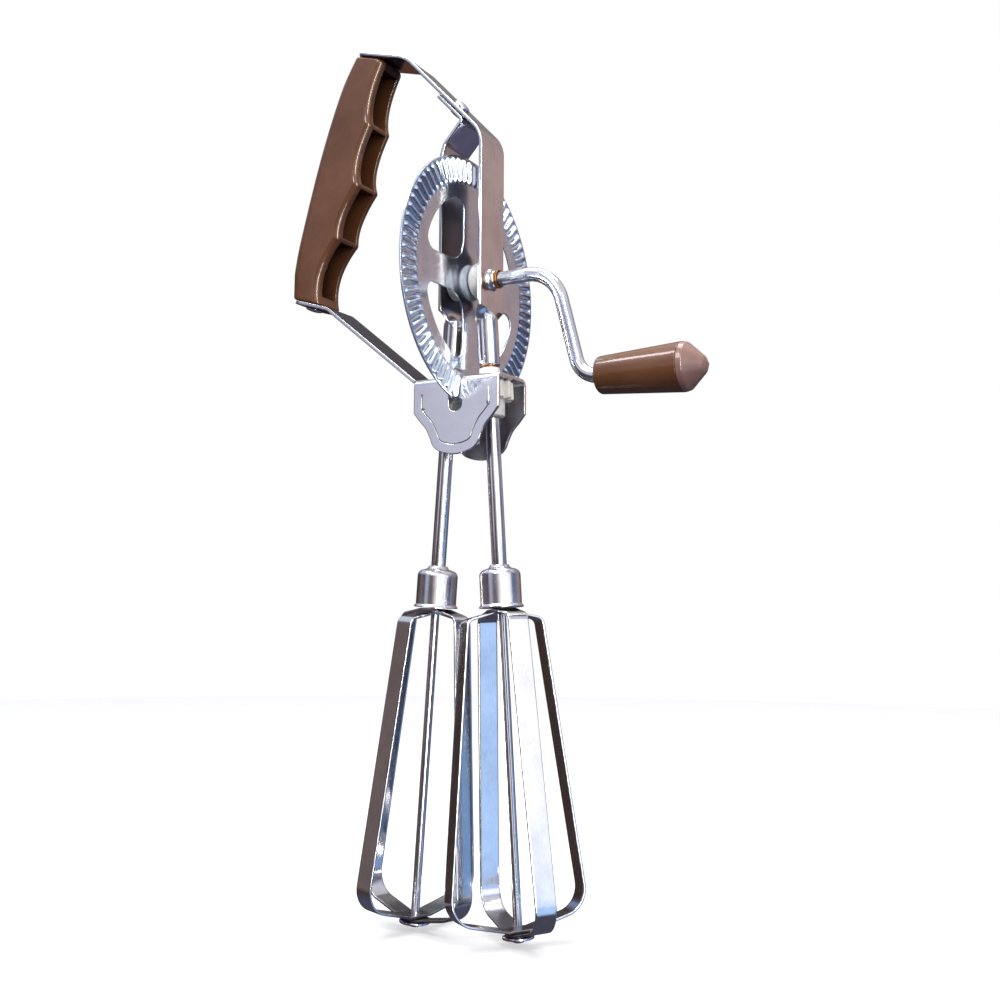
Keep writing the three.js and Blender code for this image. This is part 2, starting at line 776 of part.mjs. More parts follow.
function wheelBush() {
  const bore = rodRadius + seatGap;
  return turnedAlongX([
    [bore, bushStartX],
    [wheelBushRadius - wheelBushEdge, bushStartX],
    [wheelBushRadius - quarterShare * wheelBushEdge, bushStartX + quarterShare * wheelBushEdge],
    [wheelBushRadius, bushStartX + wheelBushEdge],
    [wheelBushRadius, bushEndX],
    [bore, bushEndX],
    [bore, bushStartX],
  ]);
}

function wheelSpacer() {
  const start = stripThickness - uprightFaceX + seatGap;
  const end = hubRise - wheelSheet / 2 - seatGap;
  return turnedAlongX(ringProfile(rodRadius + seatGap, wheelSpacerRadius, start, end));
}

function crankCollar() {
  const bore = rodRadius + runningGap;
  const seat = uprightFaceX + seatGap;
  return turnedAlongX([
    [bore, uprightFaceX - stripThickness],
    [collarLip, uprightFaceX - stripThickness],
    [collarLip, seat],
    [collarRadius, seat],
    [collarRadius - collarDraft, seat + collarHeight],
    [bore, seat + collarHeight],
    [bore, uprightFaceX - stripThickness],
  ]);
}

const crankWasherX = uprightFaceX + seatGap + collarHeight + runningGap;

function crankWasher() {
  return turnedAlongX(ringProfile(rodRadius + seatGap, crankWasherRadius, crankWasherX,
    crankWasherX + crankWasherThickness));
}

const endWasherX = -uprightFaceX - runningGap - endWasherThickness;

function axleEndWasher() {
  const bore = rodRadius + seatGap;
  return turnedAlongX(ringProfile(bore, endWasherRadius, endWasherX, endWasherX + endWasherThickness));
}

// Crank rod: one bent round bar with a riveted head at the far end of the axle
class BentLine extends THREE.CurvePath {
  constructor(points) {
    super();
    points.slice(1).forEach((point, index) => this.add(new THREE.LineCurve3(points[index], point)));
  }
}

function crankRod() {
  const axleEndX = endWasherX - seatGap;
  const armReach = knobDrop * Math.tan(armSlant);
  const wristX = armTopX + armReach;
  const path = bentPath([
    [axleEndX, 0],
    [armTopX, 0, elbowRadius],
    [wristX, -knobDrop, wristRadius],
    [knobStartX + knobPinLength, -knobDrop],
  ]).map((point) => new THREE.Vector3(point.x, 0, point.y));
  const section = new THREE.Shape();
  section.absarc(0, 0, rodRadius, 0, 2 * Math.PI, false);
  const rod = new THREE.ExtrudeGeometry(section, {
    extrudePath: new BentLine(path),
    steps: rodSteps,
    curveSegments: smallSides / 2,
    bevelEnabled: false,
  });
  const dome = headShares.map(([radiusShare, riseShare]) => [
    radiusShare * axleHeadRadius,
    axleEndX - riseShare * axleHeadHeight,
  ]);
  const head = turnedAlongX([...dome, [0, axleEndX]]);
  const neckStart = axleEndX - axleHeadHeight / 2;
  const neck = turnedAlongX(discProfile(rodRadius - axleHeadNeck, neckStart, axleEndX + overrun));
  return joined(rod, head, neck);
}

// Knob, turning freely on the rod's pin, and its cone cap
const knobEndX = knobStartX + knobLength;

function crankKnob() {
  const bore = rodRadius + runningGap;
  const socket = capPlugRadius + seatGap;
  const socketStart = knobEndX - capPlugLength - seatGap;
  return turnedAlongX([
    [bore, knobStartX],
    [knobSmallRadius - knobEdgeRadius, knobStartX],
    [knobSmallRadius - quarterShare * knobEdgeRadius, knobStartX + quarterShare * knobEdgeRadius],
    [knobSmallRadius, knobStartX + knobEdgeRadius],
    [knobLargeRadius, knobEndX],
    [socket, knobEndX],
    [socket, socketStart],
    [bore, socketStart - knobBoreWall],
    [bore, knobStartX],
  ]).translate(0, 0, -knobDrop);
}

function knobCap() {
  const start = knobEndX + seatGap;
  const bore = rodRadius + runningGap;
  const blindEnd = knobStartX + knobPinLength + runningGap;
  const tipStart = start + capConeLength - capTipRadius;
  const tip = capTipShares.map(([radiusShare, riseShare]) => [
    radiusShare * capTipRadius,
    tipStart + riseShare * capTipRadius,
  ]);
  return turnedAlongX([
    [0, blindEnd],
    [bore, blindEnd],
    [bore, knobEndX - capPlugLength],
    [capPlugRadius, knobEndX - capPlugLength],
    [capPlugRadius, start],
    [knobLargeRadius, start],
    [capShoulderRadius, start + capShoulderLength],
    ...tip,
  ]).translate(0, 0, -knobDrop);
}

// Beater pieces, in the frame of their own leaning axis
const bladeStep = bladeThickness + seatGap;
const bladeStackEnd = shaftLevel(bladeEndZ) - bladeThickness / 2 - seatGap;

function spindle() {
  const top = shaftLevel(spindleTopZ);
  const headTop = bladeStackEnd - washerThickness - seatGap;
  const head = headShares.map(([radiusShare, dropShare]) => [
    radiusShare * spindleHeadRadius,
    headTop - dropShare * spindleHeadHeight,
  ]);
  return turned([
    ...head,
    [spindleRadius, headTop],
    [spindleRadius, top - spindleRadius / 2],
    [spindleRadius / 2, top],
    [0, top],
  ], smallSides);
}

// A round piece on the leaning axis clears the level plate by the usual gap at its edge
const bushSeatRise = seatGap + bushFlangeRadius * Math.tan(shaftLean);

function plateBush() {
  const seat = shaftLevel(yokeTopZ) + bushSeatRise;
  const bodyEnd = shaftLevel(yokeTopZ) - stripThickness;
  const flangeTop = shaftLevel(sleeveEndZ) - runningGap - sleeveWasherThickness - seatGap;
  const bore = spindleRadius + runningGap;
  return turned([
    [bore, bodyEnd],
    [bushBodyRadius, bodyEnd],
    [bushBodyRadius, seat],
    [bushFlangeRadius, seat],
    [bushFlangeRadius, flangeTop],
    [bore, flangeTop],
    [bore, bodyEnd],
  ]);
}

function sleeveWasher() {
  const top = shaftLevel(sleeveEndZ) - runningGap;
  return turned(ringProfile(spindleRadius + runningGap, sleeveWasherRadius, top - sleeveWasherThickness, top));
}

const pinionTop = shaftLevel(yokeTopZ - stripThickness - pinionDrop);
const pinionEnd = pinionTop - pinionHeight;
const bossEnd = pinionEnd - pinionBossHeight;

function pinion(turn) {
  const pitchAngle = (2 * Math.PI) / pinionTeeth;
  const outline = [];
  for (let tooth = 0; tooth < pinionTeeth; tooth += 1) {
    const middle = turn + tooth * pitchAngle;
    [
      [pinionRootRadius, -pinionRootShare / 2],
      [pinionTipRadius, -pinionTipShare / 2],
      [pinionTipRadius, pinionTipShare / 2],
      [pinionRootRadius, pinionRootShare / 2],
    ].forEach(([radius, share]) => {
      const angle = middle + share * pitchAngle;
      outline.push(new THREE.Vector2(radius * Math.cos(angle), radius * Math.sin(angle)));
    });
  }
  const options = { depth: pinionHeight, bevelEnabled: false };
  const teeth = new THREE.ExtrudeGeometry(new THREE.Shape(outline), options);
  teeth.translate(0, 0, pinionEnd);
  const boss = turned(discProfile(pinionBossRadius, bossEnd, pinionEnd + pinionHeight / 2));
  const bore = turned(discProfile(spindleRadius + seatGap, bossEnd - overrun, pinionTop + overrun));
  return cut(joined(teeth, boss), bore);
}

const ferruleTop = shaftLevel(ferruleTopZ);
const ferruleEnd = shaftLevel(ferruleEndZ);

function shaftTube() {
  const start = ferruleTop + seatGap - ferruleShoulder;
  return turned(ringProfile(spindleRadius + seatGap, tubeRadius, start, bossEnd - seatGap));
}

function ferrule() {
  const bore = tubeRadius + seatGap;
  const skirt = ferruleEnd + ferruleLipHeight;
  return turned([
    [bore, ferruleTop + ferruleNeckRise],
    [bore, ferruleTop - ferruleShoulder],
    [ferruleRadius - ferruleWall, ferruleTop - ferruleShoulder],
    [ferruleRadius - ferruleWall, skirt],
    [ferruleLipRadius - ferruleWall, ferruleEnd],
    [ferruleLipRadius, ferruleEnd],
    [ferruleRadius, skirt],
    [ferruleRadius, ferruleTop - ferruleShoulder],
    [ferruleRadius - quarterShare * ferruleShoulder, ferruleTop - quarterShare * ferruleShoulder],
    [ferruleRadius - ferruleShoulder, ferruleTop],
    [ferruleNeckRadius, ferruleTop],
    [bore + ferruleWall / 2, ferruleTop + ferruleNeckRise],
    [bore, ferruleTop + ferruleNeckRise],
  ]);
}

// A blade band: a closed loop in one plane through the spindle, the inner one drawn in by a step
function bladeLoop(level) {
  const inset = level * bladeStep;
  const top = shaftLevel(bladeTopZ) - inset;
  const shoulderZ = shaftLevel(bladeTopZ) - bladeShoulderDrop - inset;
  const cornerZ = shaftLevel(bladeCornerZ) + inset;
  const end = shaftLevel(bladeEndZ) + inset;
  const loop = bentPath([
    [bladeCrownHalf, top, bladeShoulderBend],
    [bladeShoulderRadius, shoulderZ, bladeShoulderBend],
    [bladeCornerRadius, cornerZ, bladeCornerBend],
    [bladeCrownHalf, end, bladeShoulderBend],
    [-bladeCrownHalf, end, bladeShoulderBend],
    [-bladeCornerRadius, cornerZ, bladeCornerBend],
    [-bladeShoulderRadius, shoulderZ, bladeShoulderBend],
    [-bladeCrownHalf, top, bladeShoulderBend],
  ], true);
  const outside = alongY(new THREE.Shape(offsetPath(loop, bladeThickness / 2, true)), bladeWidth);
  const inside = alongY(new THREE.Shape(offsetPath(loop, -bladeThickness / 2, true)), bladeWidth + overrun);
  const bore = turned(discProfile(spindleRadius + seatGap, end - overrun, top + overrun));
  return cut(outside, inside, bore);
}

function bladeWasher() {
  const bore = spindleRadius + seatGap;
  return turned(ringProfile(bore, washerRadius, bladeStackEnd - washerThickness, bladeStackEnd));
}

// Assembly
const model = new THREE.Group();
const frame = new THREE.Group();
model.add(frame);

function place(name, geometry, finish, parent = frame) {
  const mesh = new THREE.Mesh(geometry, new THREE.MeshStandardMaterial(finishes[finish]));
  mesh.name = name;
  parent.add(mesh);
  return mesh;
}

function seatRivet(mesh, spot, up) {
  mesh.position.set(spot.x, 0, spot.y);
  mesh.rotation.y = Math.atan2(up.x, up.y);
}

place('hand_grip', handGrip(), 'grip');
place('crown_strip', crownStrip(), 'steel');
place('far_upright', farUpright(), 'steel');
place('yoke_strip', yokeStrip(), 'steel');
const crownRivetSeat = crownRivetPoint(stripThickness / 2 + seatGap);
seatRivet(place('crown_rivet', crownRivet(), 'steel'), crownRivetSeat, crownNormal);
const gripTopSeat = gripPoint(crownOffset + stripThickness / 2 + seatGap, gripRivetInset);
const gripHeelSeat = gripPoint(-2 * seatGap - stripThickness, gripRivetInset);
seatRivet(place('grip_top_rivet', gripRivet(), 'steel'), gripTopSeat, gripUp);
seatRivet(place('grip_heel_rivet', gripRivet(), 'steel'), gripHeelSeat, gripUp.clone().negate());
place('crank_collar', crankCollar(), 'steel');
place('crank_washer', crankWasher(), 'brass');
place('wheel_bush', wheelBush(), 'greyBush');
place('wheel_spacer', wheelSpacer(), 'greyBush');
place('drive_wheel', driveWheel(), 'steel');
place('axle_end_washer', axleEndWasher(), 'steel');
place('crank_rod', crankRod(), 'steel');
place('crank_knob', crankKnob(), 'grip');
place('knob_cap', knobCap(), 'grip');

[
  ['right', 1, Math.PI, rightBladeTurn],
  ['left', -1, Math.PI / pinionTeeth, leftBladeTurn],
].forEach(([name, side, pinionTurn, bladeTurn]) => {
  const shaft = new THREE.Group();
  shaft.position.x = side * shaftOffset;
  shaft.rotation.y = -side * shaftLean;
  frame.add(shaft);
  place(`sleeve_washer_${name}`, sleeveWasher(), 'brass', shaft);
  place(`plate_bush_${name}`, plateBush(), 'nylon', shaft);
  place(`spindle_${name}`, spindle(), 'steel', shaft);
  place(`pinion_${name}`, pinion(pinionTurn), 'nylon', shaft);
  place(`shaft_tube_${name}`, shaftTube(), 'steel', shaft);
  place(`ferrule_${name}`, ferrule(), 'steel', shaft);
  place(`outer_blades_${name}`, bladeLoop(0), 'steel', shaft).rotation.z = bladeTurn;
  place(`inner_blades_${name}`, bladeLoop(1), 'steel', shaft).rotation.z = bladeTurn + Math.PI / 2;
  place(`blade_washer_${name}`, bladeWasher(), 'steel', shaft);
});

// The origin is the middle of the hand grip
const gripMiddle = gripPoint(gripLength / 2, gripDepth / 2);
frame.position.set(-gripMiddle.x, 0, -gripMiddle.y);

export default model;
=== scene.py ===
# Fine pieces of a rotary egg beater, laid out in millimetres about the drive wheel's centre
import json
import math

import bmesh
import bpy
import numpy as np
from mathutils import Matrix, Vector
from mathutils.geometry import delaunay_2d_cdt


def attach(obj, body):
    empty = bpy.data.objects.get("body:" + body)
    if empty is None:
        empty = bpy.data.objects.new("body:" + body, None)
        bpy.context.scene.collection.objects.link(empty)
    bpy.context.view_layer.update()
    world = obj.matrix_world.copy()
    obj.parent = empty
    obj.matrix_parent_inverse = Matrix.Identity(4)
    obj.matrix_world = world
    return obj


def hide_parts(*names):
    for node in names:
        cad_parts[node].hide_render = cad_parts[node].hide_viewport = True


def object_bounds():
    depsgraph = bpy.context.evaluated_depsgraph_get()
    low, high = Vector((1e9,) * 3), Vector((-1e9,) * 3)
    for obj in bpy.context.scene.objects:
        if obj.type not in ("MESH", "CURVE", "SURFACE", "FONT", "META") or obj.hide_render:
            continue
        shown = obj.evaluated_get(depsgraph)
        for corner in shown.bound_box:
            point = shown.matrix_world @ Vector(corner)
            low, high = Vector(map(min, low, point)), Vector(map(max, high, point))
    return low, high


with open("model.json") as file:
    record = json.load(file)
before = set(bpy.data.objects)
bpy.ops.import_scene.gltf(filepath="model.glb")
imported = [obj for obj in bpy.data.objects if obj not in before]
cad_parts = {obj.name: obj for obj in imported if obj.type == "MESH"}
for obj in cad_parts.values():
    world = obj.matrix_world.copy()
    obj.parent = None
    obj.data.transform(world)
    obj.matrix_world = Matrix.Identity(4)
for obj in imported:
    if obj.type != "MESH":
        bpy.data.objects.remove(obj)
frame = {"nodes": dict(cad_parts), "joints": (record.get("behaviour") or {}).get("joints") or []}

cadLow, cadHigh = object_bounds()
mm = 0.001
wheelCentre = np.array({joint["name"]: joint for joint in frame["joints"]}["crank_spin"]["pos_m"])
print("frame loaded:", len(frame["nodes"]), "nodes")

# Sizes that several pieces share
strip = {"thickness": 1.2, "width": 15.1, "edge": 0.3, "face": 8.2}
shaft = {"offset": 5.3985, "lean": math.atan(0.066), "radius": 1.4}
grip = {"length": 88.5, "depth": 16.75, "lean": math.radians(17), "gap": 0.3}
crown = {"slope": math.radians(46.9), "rise": 48.8, "slopeLength": 45.07, "bendReach": 23.25}

# Camera: where the photograph was taken from, in millimetres of the part's own frame
camera = {"place": (253.1, -334.1, -154.5), "azimuth": 29.75, "pitch": 5.76, "roll": 0.37, "lens": 43.1}


def makeCamera():
    data = bpy.data.cameras.new("camera")
    data.lens = camera["lens"]
    data.sensor_width = 36
    data.clip_start, data.clip_end = 0.01, 50
    seen = bpy.data.objects.new("camera", data)
    bpy.context.scene.collection.objects.link(seen)
    turn = Matrix.Rotation(math.radians(camera["azimuth"]), 4, "Z")
    turn @= Matrix.Rotation(math.radians(90 + camera["pitch"]), 4, "X")
    turn @= Matrix.Rotation(math.radians(camera["roll"]), 4, "Z")
    seen.matrix_world = Matrix.Translation(Vector(camera["place"]) * mm) @ turn
    bpy.context.scene.camera = seen


makeCamera()


# A socket that takes part in sums, so shader maths reads like Python
class Wire:
    def __init__(self, socket):
        self.socket = socket

    def maths(self, operation, first, second):
        node = self.socket.id_data.nodes.new("ShaderNodeMath")
        node.operation = operation
        plug(node.inputs[0], first)
        plug(node.inputs[1], second)
        return Wire(node.outputs[0])

    def __add__(self, other):
        return self.maths("ADD", self, other)

    def __radd__(self, other):
        return self.maths("ADD", other, self)

    def __mul__(self, other):
        return self.maths("MULTIPLY", self, other)

    def __rmul__(self, other):
        return self.maths("MULTIPLY", other, self)

    def __sub__(self, other):
        return self.maths("SUBTRACT", self, other)

    def __rsub__(self, other):
        return self.maths("SUBTRACT", other, self)


def plug(slot, value):
    if isinstance(value, Wire):
        slot.id_data.links.new(value.socket, slot)
    elif slot.type == "RGBA" and len(value) == 3:
        slot.default_value = (*value, 1)
    else:
        slot.default_value = value


# A node tree that hands out nodes: settings first, then the values or links of its sockets
class Tree:
    def __init__(self, tree):
        self.tree = tree
        tree.nodes.clear()

    def node(self, kind, settings=None, sockets=None, out=0):
        made = self.tree.nodes.new(kind)
        for key, value in (settings or {}).items():
            if key == "stops":
                self.setStops(made.color_ramp, value)
            else:
                setattr(made, key, value)
        for key, value in (sockets or {}).items():
            plug(made.inputs[key], value)
        return Wire(made.outputs[out]) if made.outputs else None

    def setStops(self, ramp, stops):
        while len(ramp.elements) < len(stops):
            ramp.elements.new(1)
        for element, (position, colour) in zip(ramp.elements, stops):
            element.position = position
            element.color = (*colour, 1)

    def ramp(self, value, stops):
        return self.node("ShaderNodeValToRGB", {"stops": stops}, {0: value})

    def span(self, value, low, high, toLow=0.0, toHigh=1.0):
        sockets = {"Value": value, "From Min": low, "From Max": high, "To Min": toLow, "To Max": toHigh}
        return self.node("ShaderNodeMapRange", {}, sockets)

    def mix(self, factor, first, second):
        return self.node("ShaderNodeMix", {"data_type": "RGBA"}, {0: factor, 6: first, 7: second}, out=2)

    def part(self, vector, axis):
        return self.node("ShaderNodeSeparateXYZ", {}, {0: vector}, out="XYZ".index(axis))


# A finish of the object's own: noise by the millimetre on the piece's own coordinates
class Finish(Tree):
    def __init__(self, name):
        self.material = bpy.data.materials.new(name)
        self.material.use_nodes = True
        super().__init__(self.material.node_tree)
        self.place = self.node("ShaderNodeTexCoord", out="Object")

    def noise(self, size, detail, rough=0.5, stretch=(1, 1, 1)):
        squeezed = self.node("ShaderNodeVectorMath", {"operation": "MULTIPLY"}, {0: self.place, 1: stretch})
        sockets = {"Vector": squeezed, "Scale": 1 / (size * mm), "Detail": detail, "Roughness": rough}
        return self.node("ShaderNodeTexNoise", {}, sockets)

    def bump(self, height, strength, depth):
        sockets = {"Height": height, "Strength": strength, "Distance": depth * mm}
        return self.node("ShaderNodeBump", {}, sockets)

    # Where a piece's mesh asks for a darker, duller skin: painted shade, and on the yoke the groove's dark
    # line
    def mark(self):
        return self.node("ShaderNodeAttribute", {"attribute_name": "mark"}, out="Fac")

    def shade(self, sockets):
        shader = self.node("ShaderNodeBsdfPrincipled", {}, sockets)
        self.node("ShaderNodeOutputMaterial", {}, {"Surface": shader})
        return self.material


# Small geometry: directions, rounded paths, and sections swept into closed meshes
def unit(vector):
    vector = np.asarray(vector, float)
    return vector / np.linalg.norm(vector)


def cross(first, second):
    return first[0] * second[1] - first[1] * second[0]


# Angles of evenly spaced places on a full turn
def around(count):
    return np.arange(count) * 2 * math.pi / count


def arc(centre, radius, first, last, steps):
    return [(centre[0] + radius * math.cos(a), centre[1] + radius * math.sin(a))
            for a in np.linspace(first, last, steps)]


def swung(vector, angle):
    c, s = math.cos(angle), math.sin(angle)
    return np.array([c * vector[0] - s * vector[1], s * vector[0] + c * vector[1]])


def easing(share):
    share = np.clip(share, 0, 1)
    return share * share * (3 - 2 * share)


# Corners (x, y, bend radius) to points, with an arc at each corner that has a radius
def bend(corners, closed=False, steps=8):
    corners = [(*corner, 0)[:3] for corner in corners]
    count = len(corners)
    points = []
    for index, (x, y, radius) in enumerate(corners):
        here = np.array([x, y], float)
        if radius == 0 or (not closed and index in (0, count - 1)):
            points.append(here)
            continue
        before = unit(np.array(corners[index - 1][:2]) - here)
        after = unit(np.array(corners[(index + 1) % count][:2]) - here)
        half = math.acos(np.clip(before @ after, -1, 1)) / 2
        centre = here + unit(before + after) * radius / math.sin(half)
        start = here + before * radius / math.tan(half) - centre
        end = here + after * radius / math.tan(half) - centre
        turn = math.atan2(cross(start, end), start @ end)
        points += [centre + swung(start, turn * step / steps) for step in range(steps + 1)]
    return np.array(points)


# Extra points on the long straight stretches of a path
def filled(path, longest):
    points = [path[0]]
    for before, after in zip(path[:-1], path[1:]):
        pieces = max(1, math.ceil(np.linalg.norm(after - before) / longest))
        points += [before + (after - before) * step / pieces for step in range(1, pieces + 1)]
    return np.array(points)


# How far along a path each of its points lies
def distances(path):
    return np.concatenate([[0], np.cumsum(np.linalg.norm(np.diff(path, axis=0), axis=1))])


def pathNormals(path, closed=False):
    ahead = np.roll(path, -1, axis=0) - path
    ahead /= np.maximum(np.linalg.norm(ahead, axis=1), 1e-9)[:, None]
    if not closed:
        ahead[-1] = ahead[-2]
    behind = np.roll(ahead, 1, axis=0)
    if not closed:
        behind[0] = ahead[0]
    along = ahead + behind
    along /= np.linalg.norm(along, axis=1)[:, None]
    return np.column_stack([-along[:, 1], along[:, 0]])


def loft(rings, closed=False, caps=True):
    rings = np.array(rings, float)
    count, sides = rings.shape[:2]
    faces = []
    for row in range(count if closed else count - 1):
        low, high = row * sides, (row + 1) % count * sides
        faces += [(low + k, low + (k + 1) % sides, high + (k + 1) % sides, high + k) for k in range(sides)]
    if caps and not closed:
        faces += [tuple(range(sides))[::-1], tuple(range((count - 1) * sides, count * sides))]
    return rings.reshape(-1, 3), faces


# Sections of (across, out) carried along a path in the XZ plane
def swept(path, sections, side=1, closed=False):
    rings = []
    for point, normal, section in zip(path, pathNormals(path, closed) * side, sections):
        across, out = section.T
        rings.append(np.column_stack([point[0] + out * normal[0], across, point[1] + out * normal[1]]))
    return loft(rings, closed)


# A profile of (radius, distance along) turned about an axis; a ring's profile is closed
def lathe(profile, base=(0, 0, 0), axis=(1, 0, 0), sides=72, closed=False):
    axis = unit(axis)
    across = np.array([0.0, 1.0, 0.0])
    third = np.cross(axis, across)
    angles = around(sides)
    circle = np.outer(np.cos(angles), across) + np.outer(np.sin(angles), third)
    rings = [np.asarray(base, float) + axis * along + circle * radius for radius, along in profile]
    return loft(rings, closed, caps=False)


def merged(*meshes):
    points, faces, start = [], [], 0
    for more, corners in meshes:
        points.append(np.asarray(more, float))
        faces += [tuple(index + start for index in face) for face in corners]
        start += len(more)
    return np.vstack(points), faces


def meshOf(name, mesh):
    data = bpy.data.meshes.new(name)
    data.from_pydata([tuple(point) for point in np.asarray(mesh[0]) * mm + wheelCentre], [], mesh[1])
    work = bmesh.new()
    work.from_mesh(data)
    bmesh.ops.remove_doubles(work, verts=work.verts, dist=1e-6)
    bmesh.ops.recalc_face_normals(work, faces=work.faces)
    work.to_mesh(data)
    work.free()
    return data


# One finished piece: its mesh, its holes, its body, the solid it stands for and its finish
def makePiece(name, mesh, body, nodes, finish, crease=38, holes=(), marks=None):
    piece = bpy.data.objects.new(name, meshOf(name, mesh))
    # A mark per vertex: where the finish paints shade into the skin, and the yoke's dark groove line
    if marks is not None:
        layer = piece.data.attributes.new("mark", "FLOAT", "POINT")
        places = (np.array([tuple(vertex.co) for vertex in piece.data.vertices]) - wheelCentre) / mm
        layer.data.foreach_set("value", marks(places))
    bpy.context.scene.collection.objects.link(piece)
    for hole in holes:
        tool = bpy.data.objects.new("tool", meshOf("tool", hole))
        bpy.context.scene.collection.objects.link(tool)
        cutter = piece.modifiers.new("cut", "BOOLEAN")
        cutter.operation, cutter.solver, cutter.object = "DIFFERENCE", "EXACT", tool
        bpy.context.view_layer.update()
        cut = piece.evaluated_get(bpy.context.evaluated_depsgraph_get())
        solid = bpy.data.meshes.new_from_object(cut)
        piece.modifiers.clear()
        piece.data = solid
        bpy.data.objects.remove(tool)
    piece.data.shade_smooth()
    piece.data.set_sharp_from_angle(angle=math.radians(crease))
    piece.data.materials.clear()
    piece.data.materials.append(finish)
    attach(piece, body)
    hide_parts(*nodes)
    return piece


# Cross-section of sheet metal as (across, normal), with rounded edges
def bandSection(width, thickness, edge, steps=26):
    half, rise = width / 2 - edge, thickness / 2 - edge
    flat = np.linspace(-1, 1, steps + 1) * half
    turn = np.radians([60, 30, 0])
    corner = np.column_stack([half + edge * np.cos(turn), rise + edge * np.sin(turn)])
    top = np.column_stack([flat, np.full(len(flat), thickness / 2)])
    right = np.vstack([corner, (corner * (1, -1))[::-1]])
    return np.vstack([top, right, top[::-1] * (1, -1), right[::-1] * (-1, 1)])


def curled(section, curl):
    if curl < 1e-6:
        return section
    across, normal = section.T
    reach = 1 / curl + normal
    return np.column_stack([reach * np.sin(curl * across), reach * np.cos(curl * across) - 1 / curl])


stripSection = bandSection(strip["width"], strip["thickness"], strip["edge"])


# A strip along a path: curls roll it about its length, shares narrow it
def stripMesh(path, side, curls, shares):
    sections = [curled(stripSection, curl) * (share, 1) for curl, share in zip(curls, shares)]
    return swept(path, sections, side)


# Rounded corners at a strip's first end: how much of its width is left there
def endShares(path, radius):
    short = np.clip(radius - distances(path), 0, radius)
    return 1 - (radius - np.sqrt(radius ** 2 - short ** 2)) * 2 / strip["width"]


def shaftPoints(points, side):
    points = np.asarray(points, float)
    c, s = math.cos(shaft["lean"]), math.sin(shaft["lean"])
    axes = np.array([[c, 0, side * s], [0, 1, 0], [-side * s, 0, c]])
    return points @ axes + (side * shaft["offset"], 0, 0)


def onShaft(mesh, side):
    return shaftPoints(mesh[0], side), mesh[1]


def level(z):
    return z / math.cos(shaft["lean"])


# Places on the slope of the crown strip and along the grip
crownDown = np.array([math.cos(crown["slope"]), -math.sin(crown["slope"])])
crownOut = np.array([-crownDown[1], crownDown[0]])
crownCorner = np.array([strip["face"], crown["rise"]]) - crownOut * strip["thickness"] / 2
crownTop = crownCorner - crownDown * crown["slopeLength"]
gripUp = np.array([math.sin(grip["lean"]), math.cos(grip["lean"])])
gripAcross = np.array([gripUp[1], -gripUp[0]])
stripRise = grip["gap"] + strip["thickness"] / 2
gripHeel = crownTop - gripAcross * crown["bendReach"] - gripUp * (grip["length"] + stripRise)


def gripPoint(along, across):
    return gripHeel + gripUp * along + gripAcross * across


def slopePoint(x, below):
    base = crownCorner - crownOut * below
    return base + crownDown * (x - base[0]) / crownDown[0]


# Finishes
def plasticFinish(name, low, middle, high):
    finish = Finish(name)
    cloud = finish.noise(16, 3, 0.55)
    mottle = finish.noise(1.8, 3, 0.6)
    speck = finish.noise(0.35, 2, 0.6)
    colour = finish.ramp(cloud + (mottle - 0.5) * 0.25, [(0.3, low), (0.5, middle), (0.72, high)])
    # Painted shade: where the mesh's mark says, the skin turns near-black and loses its coat, for the shade
    # in the grip's pockets
    pocketShade = finish.mark()
    colour = finish.mix(pocketShade, colour, (0.012, 0.004, 0.002))
    rough = finish.span(speck + (cloud - 0.5) * 0.6, 0.3, 0.8, 0.3, 0.42)
    bump = finish.bump(speck * 0.25 + mottle, 0.12, 0.02)
    return finish.shade({"Base Color": colour, "Roughness": rough, "Normal": bump,
                         "Coat Weight": 0.6 * (1 - pocketShade), "Coat Roughness": 0.1,
                         "Specular IOR Level": 0.22})


def steelFinish(name, tint, dark, low, high, grain=(1, 1, 0.05), depth=0.03, grooveAndShade=False):
    finish = Finish(name)
    cloud = finish.noise(11, 4, 0.6)
    streak = finish.noise(0.28, 3, 0.6, grain)
    colour = finish.mix(finish.span(cloud + (streak - 0.5) * 0.5, 0.3, 0.7), dark, tint)
    rough = finish.span(streak + (cloud - 0.5) * 0.6, 0.25, 0.8, low, high)
    # Painted shade: where the mesh's mark says, the skin turns near-black and rougher, for faces in shade; on
    # the yoke the same mark draws the groove's dark line
    if grooveAndShade:
        mark = finish.mark()
        colour = finish.mix(finish.span(mark, 0.1, 0.75), colour, (0.05, 0.045, 0.06))
        rough = rough + mark * 0.3
    dents = finish.noise(4, 2) + streak * 0.12
    return finish.shade({"Base Color": colour, "Metallic": 1.0, "Roughness": rough,
                         "Normal": finish.bump(dents, 0.3, depth)})


def nylonFinish(name, light, dark):
    finish = Finish(name)
    cloud = finish.noise(2.2, 4, 0.6)
    speck = finish.noise(0.25, 2, 0.6)
    colour = finish.mix(finish.span(cloud, 0.35, 0.7), light, dark)
    rough = finish.span(speck, 0.3, 0.7, 0.36, 0.55)
    return finish.shade({"Base Color": colour, "Roughness": rough, "Normal": finish.bump(speck, 0.25, 0.02),
                         "Subsurface Weight": 0.08, "Subsurface Radius": (0.002, 0.0015, 0.001)})


